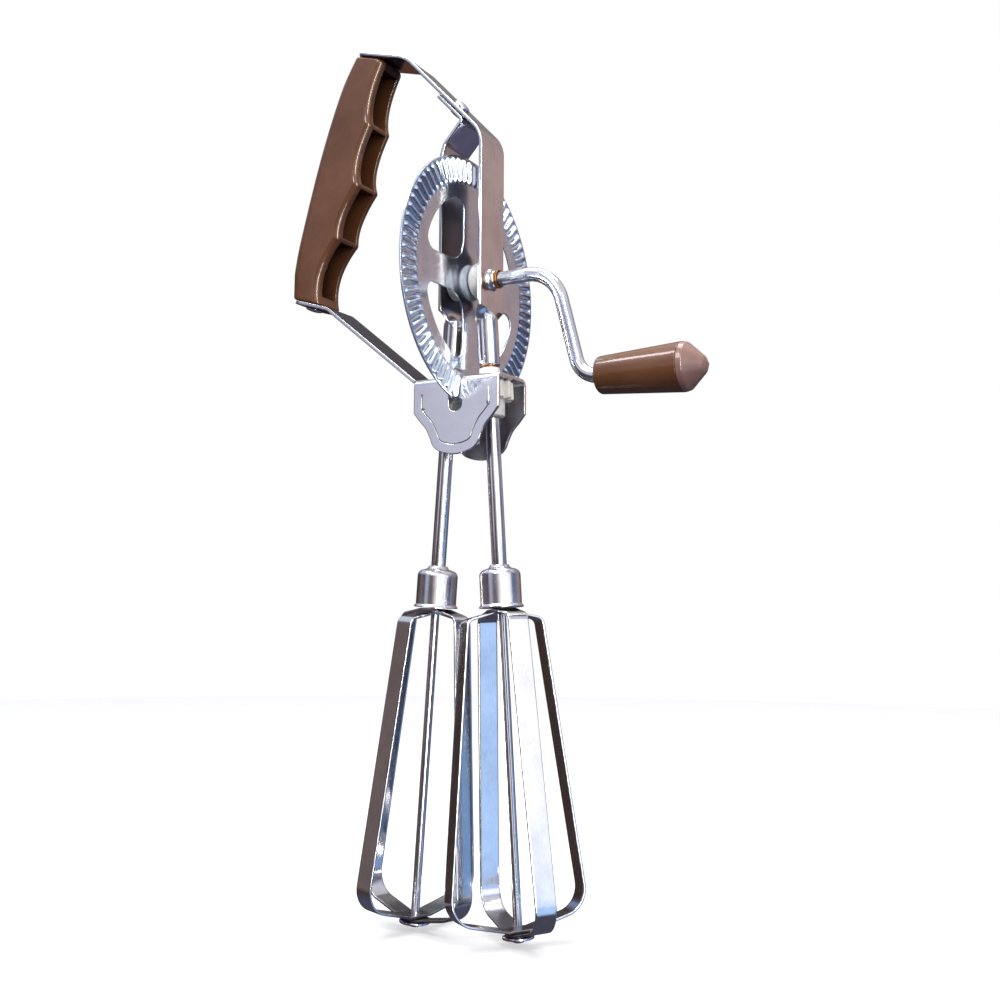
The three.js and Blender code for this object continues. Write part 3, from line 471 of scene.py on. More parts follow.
plastic = plasticFinish("brown_plastic", (0.110, 0.041, 0.015), (0.136, 0.052, 0.020),
                        (0.162, 0.066, 0.028))
capPlastic = plasticFinish("cap_plastic", (0.22, 0.115, 0.095), (0.26, 0.14, 0.118), (0.29, 0.165, 0.14))
stripSteel = steelFinish("bright_strip_steel", (0.82, 0.81, 0.83), (0.66, 0.65, 0.68), 0.10, 0.22,
                         grooveAndShade=True)
yokeSteel = steelFinish("flap_steel", (0.84, 0.84, 0.88), (0.72, 0.72, 0.78), 0.14, 0.24, (1, 1, 0.3),
                        grooveAndShade=True)
wheelSteel = steelFinish("wheel_steel", (0.72, 0.80, 0.91), (0.58, 0.64, 0.75), 0.15, 0.25,
                         (0.4, 0.4, 0.4), 0.012)
rodSteel = steelFinish("rod_steel", (0.82, 0.81, 0.84), (0.68, 0.67, 0.72), 0.10, 0.22, (0.05, 1, 1))
cupSteel = steelFinish("cup_steel", (0.74, 0.73, 0.77), (0.60, 0.58, 0.63), 0.2, 0.3, (1, 1, 0.05))
bladeSteel = steelFinish("blade_steel", (0.76, 0.76, 0.79), (0.60, 0.60, 0.64), 0.08, 0.2, depth=0.01,
                         grooveAndShade=True)
rivetSteel = steelFinish("rivet_steel", (0.72, 0.70, 0.83), (0.58, 0.56, 0.68), 0.16, 0.3, (1, 1, 1))
brass = steelFinish("amber_brass", (0.44, 0.20, 0.07), (0.22, 0.09, 0.03), 0.25, 0.42, (1, 1, 1))
nylon = nylonFinish("nylon", (0.86, 0.83, 0.76), (0.72, 0.68, 0.60))
greyBush = nylonFinish("grey_bush", (0.62, 0.61, 0.59), (0.48, 0.47, 0.45))
print("finishes done")

# Frame strips: the crown over the grip and down the crank side, and the upright beyond the wheel
uprights = {
    "middleX": strip["face"] - strip["thickness"] / 2, "neckZ": -9.8, "rollZ": -13.4, "neckWidth": 12.2,
    "neckRate": 1.12, "rollRadius": 3.0, "sleeveTop": -12.9, "endZ": -28.6,
    "edgeDepths": (0, 0.06, 0.16, 0.3), "edgeShares": (0.55, 0.8, 0.95, 1), "nearBore": 3.25, "farBore": 2.6,
    # The last two: strength of the painted shade on the faces towards the wheel, and the height where it
    # stops
    "paintedShade": 0.68, "paintedShadeTop": 38,
}
crownStrip = {"bend": 14, "shoulder": 10.5, "startAcross": 1.6, "endRound": 2.2, "rivetX": -4.7}
farStrip = {"lap": 0.3, "lapX": -10.2, "foldX": 0.3, "fold": 1.2, "bendX": -6.5, "bendZ": 46.9, "bend": 2.4}
rollTight = 1 / uprights["rollRadius"]


# How far out the middle line of a rolled sleeve's outer side runs, for a height
def sleevePlace(z):
    return shaft["offset"] - math.tan(shaft["lean"]) * z + uprights["rollRadius"]


# The neck between an upright and its sleeve: places, curls and shares of the strip's width
def uprightNeck():
    heights = np.linspace(uprights["neckZ"], uprights["rollZ"], 18)
    share = (uprights["neckZ"] - heights) / (uprights["neckZ"] - uprights["rollZ"])
    ease = easing(share)
    places = uprights["middleX"] * (1 - ease) + sleevePlace(heights) * ease
    narrow = 1 - (1 - uprights["neckWidth"] / strip["width"]) * np.clip(share * uprights["neckRate"], 0, 1)
    return np.column_stack([places, heights]), rollTight * ease, narrow


# The strip's end rolled round a shaft, with the sheet thinned at both its rims
def sleeveMesh(side):
    depths, shares = np.array(uprights["edgeDepths"]), np.array(uprights["edgeShares"])
    top, end = uprights["sleeveTop"], uprights["endZ"]
    between = np.arange(top - 2 * depths[-1], end + 2 * depths[-1], -1)
    heights = np.concatenate([top - depths, between, end + depths[::-1]])
    thin = np.concatenate([shares, np.ones(len(between)), shares[::-1]])
    rings = []
    for z, share in zip(heights, thin):
        across, out = curled(stripSection * (1, share), rollTight).T
        rings.append(np.column_stack([side * (sleevePlace(z) + out), across, np.full(len(out), z)]))
    return loft(rings)


def crossing(pointA, alongA, pointB, alongB):
    return pointA + alongA * cross(pointB - pointA, alongB) / cross(alongA, alongB)


def withNeck(upper, side):
    neck, neckCurls, narrow = uprightNeck()
    path = np.vstack([filled(upper, 1.5)[:-1], neck * (side, 1)])
    rest = len(path) - len(neck)
    shares = endShares(path, crownStrip["endRound"])
    shares[rest:] *= narrow
    return stripMesh(path, side, np.concatenate([np.zeros(rest), neckCurls]), shares)


# Painted shade: the faces that look at the wheel are painted darker than the outer ones
def innerShadeMarks(points):
    inner = np.abs(points[:, 0]) < uprights["middleX"] - strip["edge"]
    tall = (points[:, 2] > uprights["neckZ"]) & (points[:, 2] < uprights["paintedShadeTop"])
    return np.where(inner & tall, uprights["paintedShade"], 0)


# The bore that the axle passes through an upright by
def axleBore(radius, x):
    return lathe([(0, -2), (radius, -2), (radius, 2), (0, 2)], (x, 0, 0))


shoulder = crossing(crownCorner, crownDown, np.array([uprights["middleX"], 0.0]), np.array([0.0, 1.0]))
crownUpper = bend([
    gripPoint(grip["length"] + stripRise, crownStrip["startAcross"]),
    (*crownTop, crownStrip["bend"]),
    (*shoulder, crownStrip["shoulder"]),
    (uprights["middleX"], uprights["neckZ"]),
], steps=16)
makePiece(
    "crown_strip_fine",
    merged(withNeck(crownUpper, 1), sleeveMesh(1)),
    "frame", ["crown_strip"], stripSteel,
    holes=[axleBore(uprights["nearBore"], uprights["middleX"])],
    marks=innerShadeMarks)

lapBelow = strip["thickness"] + farStrip["lap"]
farUpper = bend([
    slopePoint(farStrip["lapX"], lapBelow),
    (*slopePoint(farStrip["foldX"], lapBelow), farStrip["fold"]),
    (farStrip["bendX"], farStrip["bendZ"], farStrip["bend"]),
    (-uprights["middleX"], farStrip["bendZ"] - (uprights["middleX"] + farStrip["bendX"]) - farStrip["bend"],
     farStrip["bend"]),
    (-uprights["middleX"], uprights["neckZ"]),
], steps=10)
makePiece(
    "far_upright_fine",
    merged(withNeck(farUpper, -1), sleeveMesh(-1)),
    "frame", ["far_upright"], stripSteel,
    holes=[axleBore(uprights["farBore"], -uprights["middleX"])],
    marks=innerShadeMarks)
print("frame strips done")

# Rivets with shallow domed heads
rivets = {"head": 3, "rise": 1.1, "heelRise": 0.7, "lip": 0.12, "under": 0.22, "shank": 1.5, "tail": 2.4,
          "inset": 6.2, "seat": 1.8, "crownLift": 0.25, "crownDepth": 3.3, "gripDepth": 4.2}


def rivetMesh(place, up, depth, tail, rise=rivets["rise"]):
    head, under, wide = rivets["head"], -rivets["under"], rivets["tail"]
    profile = [(head * math.sin(a), rise * math.cos(a)) for a in np.linspace(0, math.pi / 2, 9)]
    profile += [(head, -rivets["lip"]), (head - 0.15, under), (rivets["shank"], under),
                (rivets["shank"], -depth)]
    if tail:
        profile += [(wide, -depth), (wide - 0.2, -depth - 0.4), (wide * 0.6, -depth - 0.55)]
    profile += [(0, profile[-1][1])]
    return lathe(profile, (place[0], 0, place[1]), (up[0], 0, up[1]), 56)


crownSeat = slopePoint(crownStrip["rivetX"], 0) + crownOut * (strip["thickness"] / 2 + rivets["crownLift"])
topSeat = gripPoint(grip["length"] + rivets["seat"], rivets["inset"])
heelSeat = gripPoint(-rivets["seat"], rivets["inset"])
for name, mesh in (
    ("crown_rivet", rivetMesh(crownSeat, crownOut, rivets["crownDepth"], True)),
    ("grip_top_rivet", rivetMesh(topSeat, gripUp, rivets["gripDepth"], False)),
    ("grip_heel_rivet", rivetMesh(heelSeat, -gripUp, rivets["gripDepth"], False, rivets["heelRise"])),
):
    makePiece(name + "_fine", mesh, "frame", [name], rivetSteel)

# Yoke: slotted plate, two shield-shaped flaps and the lower strip, cut from one sheet and folded
yoke = {
    "top": -32.75, "halfLength": 16.1, "halfWidth": 9.4, "bend": 1.8, "sideEnd": -44.2, "bottom": -58.6,
    "slotHalf": 2.47, "slotEnd": -44.6, "bushHole": 2.9, "bushX": 7.58, "bevel": 0.25,
    # The line's last value: strength of the painted shade on the flaps' inner faces
    "line": 3.3, "lineHalf": 0.22, "lineDepth": 0.16, "edgeTop": 11.4, "flapShade": 0.5,
}
flapShares = [(1, 0), (0.86, 0.19), (0.71, 0.37), (0.61, 0.58), (0.54, 0.76), (0.42, 0.89), (0.22, 0.97),
              (0, 1)]
lowerStrip = {"level": 0.83, "heelInset": 2.2, "reach": 17.82, "bend": 3, "slopeBend": 2.4,
              # The last value: strength of the painted shade on the lower strip's slope
              "cornerRound": 0.8, "endRound": 2.2, "paintedShade": 0.8}
sheet = {"support": 0.15, "clear": 0.6, "edgeSteps": 8}


# Soft curve through points, passing each one
def curveThrough(points, steps=6):
    points = np.array([points[0], *points, points[-1]], float)
    found = []
    for p, q, r, s in zip(points[:-3], points[1:-2], points[2:-1], points[3:]):
        for t in np.arange(steps) / steps:
            found.append(0.5 * (2 * q + (r - p) * t + (2 * p - 5 * q + 4 * r - s) * t ** 2
                                + (3 * q - p - 3 * r + s) * t ** 3))
    return np.array([*found, points[-2]])


def insideLoop(loop, points):
    x, y = points[:, 0], points[:, 1]
    found = np.zeros(len(points), bool)
    for (x0, y0), (x1, y1) in zip(loop, np.roll(loop, -1, axis=0)):
        if y0 != y1:
            found ^= ((y0 > y) != (y1 > y)) & (x < (x1 - x0) * (y - y0) / (y1 - y0) + x0)
    return found


def insideLoops(loops, points):
    found = insideLoop(loops[0], points)
    for loop in loops[1:]:
        found &= ~insideLoop(loop, points)
    return found


# Offset of a closed loop towards the sheet; the outer loop runs anticlockwise and holes clockwise
def inset(loop, distance):
    return loop + pathNormals(loop, closed=True) * distance


def area(loop):
    x, y = loop.T
    return 0.5 * np.sum(x * np.roll(y, -1) - y * np.roll(x, -1))


# Distance from each point to the nearest of some marks
def gapTo(marks, points):
    return np.min(np.linalg.norm(points[:, None] - marks[None], axis=2), axis=1)


# A sheet with rounded edges: loops in the flat, extra inner points, and a way to fold (u, v, normal).
# Loops just inside the edges keep the shading of the rounding off the flat
def sheetMesh(loops, inner, fold, thickness, bevel, openLoops=(), creases=()):
    loops = [loop if (area(loop) > 0) == (index == 0) else loop[::-1] for index, loop in enumerate(loops)]
    drawn = [loop if index in openLoops else inset(loop, bevel) for index, loop in enumerate(loops)]
    points, edges, start = [], [], 0
    beside = [inset(loop, sheet["support"]) for loop in drawn]
    chains = [(loop, True) for loop in drawn + beside] + [(crease, False) for crease in creases]
    for chain, isClosed in chains:
        points += [tuple(point) for point in chain]
        edges += [(start + k, start + k + 1) for k in range(len(chain) - 1)]
        if isClosed:
            edges.append((start + len(chain) - 1, start))
        start += len(chain)
    kept = inner[insideLoops([inset(loop, sheet["clear"]) for loop in drawn], inner)]
    points += [tuple(point) for point in kept]
    result = delaunay_2d_cdt([Vector(point) for point in points], edges, [], 0, 1e-6)
    flat = np.array([tuple(point) for point in result[0]])
    faces = np.array([tuple(face) for face in result[2]])
    faces = faces[insideLoops(drawn, flat[faces].mean(axis=1))]
    parts = []
    for way in (1, -1):
        height = np.full(len(flat), way * thickness / 2)
        parts.append((fold(flat, height, way), [tuple(face) for face in faces]))
    for index, loop in enumerate(loops):
        if index in openLoops:
            continue
        rings = []
        for turn in np.linspace(0, math.pi, sheet["edgeSteps"] + 1):
            across = bevel * (1 - math.sin(turn))
            height = (thickness / 2 - bevel) * np.sign(round(math.cos(turn), 6)) + bevel * math.cos(turn)
            ring = inset(loop, across)
            rings.append(fold(ring, np.full(len(ring), height), np.sign(height)))
        parts.append(loft(rings, caps=False))
    return merged(*parts)


def gridPoints(lowU, highU, lowV, highV, step):
    u, v = np.meshgrid(np.arange(lowU, highU, step), np.arange(lowV, highV, step))
    return np.column_stack([u.ravel(), v.ravel()])


plateZ = yoke["top"] - strip["thickness"] / 2
plateHalf = yoke["halfWidth"] - strip["thickness"] / 2 - yoke["bend"]
foldLength = yoke["bend"] * math.pi / 2
foldEnd = plateHalf + foldLength


# How far across the flat pattern a height on a flap lies
def flapReach(z):
    return foldEnd + (plateZ - yoke["bend"] - z)


sideReach, flapEnd, slotReach = (flapReach(yoke[key]) for key in ("sideEnd", "bottom", "slotEnd"))
halfLength = yoke["halfLength"]
flapHalf = [(share * halfLength, sideReach + drop * (flapEnd - sideReach)) for share, drop in flapShares]
flapCurve = curveThrough(flapHalf + [(-x, u) for x, u in flapHalf[-2::-1]])
lowerPath = filled(bend([
    (-halfLength, plateZ),
    (-halfLength - lowerStrip["level"], plateZ, lowerStrip["slopeBend"]),
    (*gripPoint(-stripRise, lowerStrip["reach"]), lowerStrip["bend"]),
    gripPoint(-stripRise, lowerStrip["heelInset"]),
], steps=14), 0.8)
lowerAlong = distances(lowerPath)
lowerUp = -pathNormals(lowerPath)
stripHalf = strip["width"] / 2
stripEnd = -halfLength - lowerAlong[-1]
edgeTop = yoke["edgeTop"]
flapEdge = filled(np.vstack([[(halfLength, edgeTop)], flapCurve, [(-halfLength, edgeTop)]]), 0.7)
tongue = bend([
    (-halfLength, edgeTop),
    (-halfLength, stripHalf, lowerStrip["cornerRound"]),
    (stripEnd, stripHalf, lowerStrip["endRound"]),
    (stripEnd, -stripHalf, lowerStrip["endRound"]),
    (-halfLength, -stripHalf, lowerStrip["cornerRound"]),
    (-halfLength, -edgeTop),
], steps=6)
yokeLoop = np.vstack([
    flapEdge[:-1],
    filled(tongue, 0.7)[:-1],
    (flapEdge * (1, -1))[::-1][:-1],
    filled(np.array([(halfLength, -edgeTop), (halfLength, edgeTop)]), 0.5)[:-1],
])
slotHalf = yoke["slotHalf"]
slotTurn = np.array(arc((0, slotReach - slotHalf), slotHalf, 0, math.pi, 17))
slotLoop = filled(np.vstack([slotTurn, -slotTurn, slotTurn[:1]]), 0.6)[:-1]
circle = np.array([(math.cos(a), math.sin(a)) for a in around(40)])
bushLoops = [circle * yoke["bushHole"] + (side * yoke["bushX"], 0) for side in (1, -1)]
markLine = flapEdge + pathNormals(flapEdge) * yoke["line"]
markKept = (flapEdge[:, 1] > edgeTop + 2) & (np.abs(markLine[:, 0]) < halfLength - 3.1)
markLine = filled(markLine[markKept], 0.35)
markPoints = np.vstack([markLine, markLine * (1, -1)])


def foldYoke(flat, height, way):
    x, u = flat.T
    if way > 0:
        groove = np.clip(1 - gapTo(markPoints, flat) / yoke["lineHalf"], 0, 1)
        height = height - yoke["lineDepth"] * groove
    reach = np.abs(u)
    angle = np.clip((reach - plateHalf) / yoke["bend"], 0, math.pi / 2)
    rest = np.clip(reach - plateHalf - foldLength, 0, None)
    y = np.where(reach < plateHalf, reach, plateHalf + yoke["bend"] * np.sin(angle)) + height * np.sin(angle)
    z = plateZ - yoke["bend"] * (1 - np.cos(angle)) - rest + height * np.cos(angle)
    along = -halfLength - x
    onStrip = along > 0
    there = [np.interp(along, lowerAlong, values) for values in (*lowerPath.T, *lowerUp.T)]
    return np.column_stack([
        np.where(onStrip, there[0] + there[2] * height, x),
        np.where(onStrip, u, y * np.sign(u)),
        np.where(onStrip, there[1] + there[3] * height, z),
    ])


# Dark line in the flaps' groove, and painted shade on the faces inside the flaps and on the lower strip
def yokeMarks(points):
    x, y, z = points.T
    y = np.abs(y)
    flat = np.column_stack([x, flapReach(z) * np.sign(points[:, 1])])
    outer = y > yoke["halfWidth"] - yoke["bevel"]
    line = np.zeros(len(points))
    line[outer] = np.clip(1 - gapTo(markPoints, flat[outer]) / yoke["lineHalf"], 0, 1)
    inner = (y < yoke["halfWidth"] - strip["thickness"] + 0.1) & (z < yoke["top"] - 2)
    slope = (x < -halfLength - 1) & (y < stripHalf - strip["edge"])
    return np.maximum(line, np.where(inner, yoke["flapShade"], np.where(slope, lowerStrip["paintedShade"], 0)))


# Stretches of the flat pattern (low and high along, low and high across, step): folds closest
yokeGrid = np.vstack([gridPoints(*stretch) for stretch in (
    (-halfLength, halfLength, plateHalf + 0.3, foldEnd, 0.45),
    (-halfLength, halfLength, -foldEnd, -plateHalf, 0.45),
    (-halfLength, halfLength, -plateHalf, plateHalf, 1.5),
    (-halfLength, halfLength, foldEnd, flapEnd, 1.3),
    (-halfLength, halfLength, -flapEnd, -foldEnd, 1.3),
    (stripEnd, -halfLength, -stripHalf, stripHalf, 0.7),
)])
marks = [markLine + pathNormals(markLine) * gap for gap in (-yoke["lineHalf"], 0, yoke["lineHalf"])]
marks += [mark * (1, -1) for mark in marks]
nearMark = gapTo(markPoints, yokeGrid) < sheet["clear"]
makePiece(
    "yoke_strip_fine",
    sheetMesh([yokeLoop, slotLoop, *bushLoops], yokeGrid[~nearMark], foldYoke, strip["thickness"],
              yoke["bevel"], creases=marks),
    "frame", ["yoke_strip"], yokeSteel, crease=30, marks=yokeMarks)
print("yoke done")

# Drive wheel: pressed sheet with a raised hub, four kidney openings and a ring of radial waves
wheel = {
    "radius": 42, "sheet": 0.7, "teeth": 72, "wave": 0.78, "waveStart": 32.8, "waveRise": 1.9, "rim": 0.8,
    "kidneyReach": 28.4, "spokeHalf": 5.3, "inner": 8.4, "outer": 3.6, "bore": 2.6, "hub": 7, "hubFoot": 13,
    "hubRise": 1.1, "bevel": 0.2, "square": 1.1,
}


def kidneyLoop(turn):
    near = wheel["spokeHalf"] + wheel["inner"]
    side = wheel["spokeHalf"] + wheel["outer"]
    far = math.sqrt((wheel["kidneyReach"] - wheel["outer"]) ** 2 - side ** 2)
    start, quarter = math.atan2(side, far), math.pi / 2
    points = arc((far, side), wheel["outer"], -quarter, start, 9)
    points += arc((0, 0), wheel["kidneyReach"], start, quarter - start, 20)[1:]
    points += arc((side, far), wheel["outer"], quarter - start, math.pi, 9)[1:]
    points += arc((near, near), wheel["inner"], math.pi, math.pi + quarter, 14)
    loop = filled(np.array(points + points[:1]), 1.0)[:-1]
    return np.array([swung(point, turn) for point in loop])


def foldWheel(flat, height, way):
    radius = np.linalg.norm(flat, axis=1)
    rise = wheel["hubRise"] * easing((wheel["hubFoot"] - radius) / (wheel["hubFoot"] - wheel["hub"]))
    return np.column_stack([rise + height, flat])


def driveWheelMesh():
    turns = around(wheel["teeth"] * 16)
    ways = np.column_stack([-np.sin(turns), -np.cos(turns)])
    wave = -np.tanh(wheel["square"] * np.cos(wheel["teeth"] * turns)) / math.tanh(wheel["square"])
    half, bevel = wheel["sheet"] / 2, wheel["bevel"]
    reach, start = wheel["radius"], wheel["waveStart"]
    inner = np.linspace(start, start + wheel["waveRise"], 6)
    outer = np.linspace(reach - wheel["rim"] - 1, reach - wheel["rim"] / 2, 7)
    radii = np.concatenate([inner, outer, [reach - bevel]])
    fade = 1 - easing((outer - outer[0]) / (outer[-1] - outer[0]))
    swell = np.concatenate([easing((inner - start) / wheel["waveRise"]), fade, [0]])
    rings = [(radius, rise, half) for radius, rise in zip(radii, swell)]
    rim = [(reach - bevel * (1 - math.cos(a)), 0, (half - bevel) * np.sign(a) + bevel * math.sin(a))
           for a in np.radians([60, 30, -30, -60])]
    rings = rings + rim + [(radius, rise, -out) for radius, rise, out in rings[::-1]]
    band = loft([np.column_stack([wave * wheel["wave"] * rise + out, ways * radius])
                 for radius, rise, out in rings], caps=False)
    polar = [(radius * math.cos(a), radius * math.sin(a))
             for radius in [*np.arange(3.4, 14.5, 0.7), *np.arange(16, 32, 1.6), 32.3]
             for a in around(int(radius * 6))]
    kidneys = [kidneyLoop(quarter * math.pi / 2) for quarter in range(4)]
    loops = [ways * start, circle * wheel["bore"], *kidneys]
    web = sheetMesh(loops, np.array(polar), foldWheel, wheel["sheet"], bevel, openLoops=(0,))
    return merged(band, web)


makePiece("drive_wheel_fine", driveWheelMesh(), "crank", ["drive_wheel"], wheelSteel,
          crease=32)
print("wheel done")

# Bushes, collar and washers on the axle, as closed profiles of (radius, x, edge radius)
axleRings = {
    "wheel_bush": ("grey_bush", [
        (2.6, 1.75), (4.9, 1.75, 0.6), (6.2, 3.0, 1.6), (6.2, 6.7, 0.3), (2.6, 6.7, 0.2)]),
    "wheel_spacer": ("grey_bush", [
        (2.6, -6.7, 0.2), (5.2, -6.7, 0.4), (5.2, 0.45, 0.4), (2.6, 0.45, 0.2)]),
    "crank_collar": ("bright_strip", [
        (2.6, 7.0, 0.1), (3.1, 7.0, 0.1), (3.15, 8.22), (3.8, 8.22, 0.1), (3.6, 8.5, 0.3), (3.2, 8.8, 0.5),
        (2.9, 10.0, 0.4), (2.6, 10.0, 0.15)]),
    "crank_washer": ("brass_washer", [
        (2.55, 10.2, 0.1), (3.05, 10.2, 0.2), (3.05, 11.2, 0.2), (2.55, 11.2, 0.1)]),
    "axle_end_washer": ("rivet_steel", [
        (2.6, -9.3, 0.1), (4.4, -9.3, 0.25), (4.4, -8.5, 0.1), (2.6, -8.5, 0.1)]),
}
ringFinishes = {"grey_bush": greyBush, "bright_strip": stripSteel, "brass_washer": brass,
                "rivet_steel": rivetSteel}
for name, (slot, profile) in axleRings.items():
    body = "frame" if name == "crank_collar" else "crank"
    ring = lathe(bend(profile, closed=True, steps=5), closed=True, sides=96)
    makePiece(name + "_fine", ring, body, [name], ringFinishes[slot])

# Crank rod: one bent round bar with a riveted head at the far end of the axle
rod = {"radius": 2.3, "startX": -9.6, "armX": 31.3, "slant": 14.8, "drop": 35.8, "elbow": 13, "wrist": 8,
       "endX": 73, "head": 3.4, "headRise": 1.2, "headEdge": 0.25}
wristX = rod["armX"] + rod["drop"] * math.tan(math.radians(rod["slant"]))
rodPath = filled(bend([
    (rod["startX"], 0), (rod["armX"], 0, rod["elbow"]), (wristX, -rod["drop"], rod["wrist"]),
    (rod["endX"], -rod["drop"]),
], steps=28), 1.5)
rodSection = rod["radius"] * np.column_stack([np.sin(around(40)), np.cos(around(40))])
headBase, headDome = rod["startX"] - rod["headEdge"], rod["headRise"] - rod["headEdge"]
headProfile = [(0, rod["startX"] - rod["headRise"])]
headProfile += [(rod["head"] * math.sin(a), headBase - headDome * math.cos(a))
                for a in np.linspace(0.15, math.pi / 2, 8)]
headProfile += [(rod["head"] - 0.15, rod["startX"]), (0, rod["startX"])]
rodMesh = merged(swept(rodPath, [rodSection] * len(rodPath)), lathe(headProfile))
makePiece("crank_rod_fine", rodMesh, "crank", ["crank_rod"], rodSteel)

# Knob and its cone cap on the rod's pin
knob = {"startX": 47, "endX": 74.85, "small": 5.9, "large": 7.7, "bore": 2.6, "socket": 4.9, "socketX": 69.5}
knobCap = {"startX": 74.95, "tipX": 82.99, "tip": 2.65, "plug": 4.6, "plugX": 69.8, "wellX": 73.3,
           "shoulder": (7.35, 76.6, 1.2), "tipEdge": (81.7, 2.0)}
pin = (0, 0, -rod["drop"])
knobProfile = bend([
    (knob["bore"], knob["startX"], 0.3), (knob["small"], knob["startX"], 1.3),
    (knob["large"], knob["endX"], 0.16), (knob["socket"], knob["endX"], 0.1),
    (knob["socket"], knob["socketX"], 0.1), (knob["bore"], knob["socketX"], 0.1),
], closed=True)
capProfile = np.vstack([[
    (0, knobCap["wellX"]), (knob["bore"], knobCap["wellX"]), (knob["bore"], knobCap["plugX"]),
    (knobCap["plug"], knobCap["plugX"]), (knobCap["plug"], knobCap["startX"]),
], bend([
    (knobCap["plug"], knobCap["startX"]), (knob["large"], knobCap["startX"], 0.2), knobCap["shoulder"],
    (knobCap["tip"], *knobCap["tipEdge"]), (0, knobCap["tipX"]),
])])
makePiece("crank_knob_fine", lathe(knobProfile, pin, closed=True, sides=96), "knob", ["crank_knob"],
          plastic)
makePiece("knob_cap_fine", lathe(capProfile, pin, sides=96), "knob", ["knob_cap"], capPlastic)
print("crank done")

# Beaters: everything on the two leaning shafts, in heights of the upright frame
beater = {
    "spindleTop": -13.0, "spindle": 1.4, "head": 2.4, "headTop": -209.8, "headEnd": -210.78,
    "sleeveWasher": (3.1, -28.9, -29.4), "flange": (3.4, -29.7, -32.23), "bushBody": (2.6, -33.95),
    "tip": 7.5, "root": 5.5, "teeth": 12, "pinionTop": -34.8, "pinionEnd": -40.6, "boss": 4.3,
    "bossEnd": -46.0, "tube": 2.4, "tubeTop": -46.3, "turns": {1: 142, -1: -15},
    "pinionTurns": {1: 180, -1: 15},
    "square": 2.6, "toothShare": 0.22, "bore": 1.7, "bushBore": 1.75,
}
cup = {"bore": 2.75, "neck": 3.1, "neckTop": -94.2, "flare": -95.2, "shoulder": -96.1, "radius": 6.65,
       "skirt": -106.8, "lip": 7.2, "end": -107.85, "wall": 0.6, "throat": 3.5, "innerThroat": 4.2,
       "drop": 1.1}
blade = {
    "thickness": 0.8, "width": 6.8, "edge": 0.24, "step": 1.1, "crown": 4, "top": -108.6, "topBend": 2.6,
    "shoulder": 12.8, "shoulderZ": -110.6, "corner": 22.9, "cornerZ": -203.4, "cornerBend": 8, "end": -208,
    # The last three: where the painted shade on the arms starts, its strength, and how far it takes to fade
    # in
    "paintedShadeFrom": -204, "paintedShade": 0.6, "fade": 1.5,
}
bladeWasher = (5, -208.7, -209.5)  # radius, top, end


def leveled(profile):
    return [(radius, level(z), *rest) for radius, z, *rest in profile]


# A profile of (radius, height, edge radius) turned about a beater's own axis
def turned(profile, steps=8, sides=72, closed=True):
    return lathe(bend(leveled(profile), closed, steps), axis=(0, 0, 1), sides=sides, closed=closed)


def pinionMesh(turn):
    angles = around(beater["teeth"] * 22)
    teeth = np.cos(beater["teeth"] * (angles - math.radians(turn))) + beater["toothShare"]
    wave = np.tanh(beater["square"] * teeth) / math.tanh(beater["square"])
    middle, swing = (beater["tip"] + beater["root"]) / 2, (beater["tip"] - beater["root"]) / 2
    radii = middle + swing * wave
    top, end, boss, bossEnd = (beater[key] for key in ("pinionTop", "pinionEnd", "boss", "bossEnd"))
    rings = []
    for z, drawn in ((top, 0.4), (top - 0.12, 0.12), (top - 0.4, 0), (end + 0.4, 0), (end + 0.12, 0.12),
                     (end, 0.4)):
        across, along = (radii - drawn) * np.cos(angles), (radii - drawn) * np.sin(angles)
        rings.append(np.column_stack([across, along, np.full(len(angles), level(z))]))
    return merged(loft(rings), turned([
        (beater["bore"], end + 1), (boss + 0.5, end + 1), (boss + 0.25, end - 0.7, 0.5), (boss, bossEnd, 0.5),
        (beater["bore"], bossEnd, 0.1)]))


# A closed band loop; each step nests one loop inside the next
def bladeMesh(step, turn):
    nested = step * blade["step"]
    top, shoulderZ = level(blade["top"]) - nested, level(blade["shoulderZ"]) - nested
    cornerZ, end = level(blade["cornerZ"]) + nested, level(blade["end"]) + nested
    half = [(blade["crown"], top, blade["topBend"]), (blade["shoulder"], shoulderZ, blade["topBend"]),
            (blade["corner"], cornerZ, blade["cornerBend"]), (blade["crown"], end, blade["topBend"])]
    loop = bend(half + [(-x, z, radius) for x, z, radius in half[::-1]], closed=True, steps=14)
    loop = filled(np.vstack([loop, loop[:1]]), 2.0)[:-1]
    section = bandSection(blade["width"], blade["thickness"], blade["edge"], 10)
    points, faces = swept(loop, [section] * len(loop), closed=True)
    c, s = math.cos(math.radians(turn)), math.sin(math.radians(turn))
    return points @ np.array([[c, s, 0], [-s, c, 0], [0, 0, 1]]), faces


# Painted shade: the arms under a beater are painted darker than its blades
def bladeShadeMarks(points):
    return blade["paintedShade"] * np.clip((blade["paintedShadeFrom"] - points[:, 2]) / blade["fade"], 0, 1)


def spindleMesh():
    radius, head, headTop = beater["spindle"], beater["head"], beater["headTop"]
    return turned([
        (0, beater["headEnd"]), (1.5, beater["headEnd"] + 0.1, 0.4), (head, headTop - 0.3, 0.4),
        (head, headTop, 0.1), (radius, headTop), (radius, beater["spindleTop"], 0.6),
        (0, beater["spindleTop"]),
    ], sides=40, closed=False)


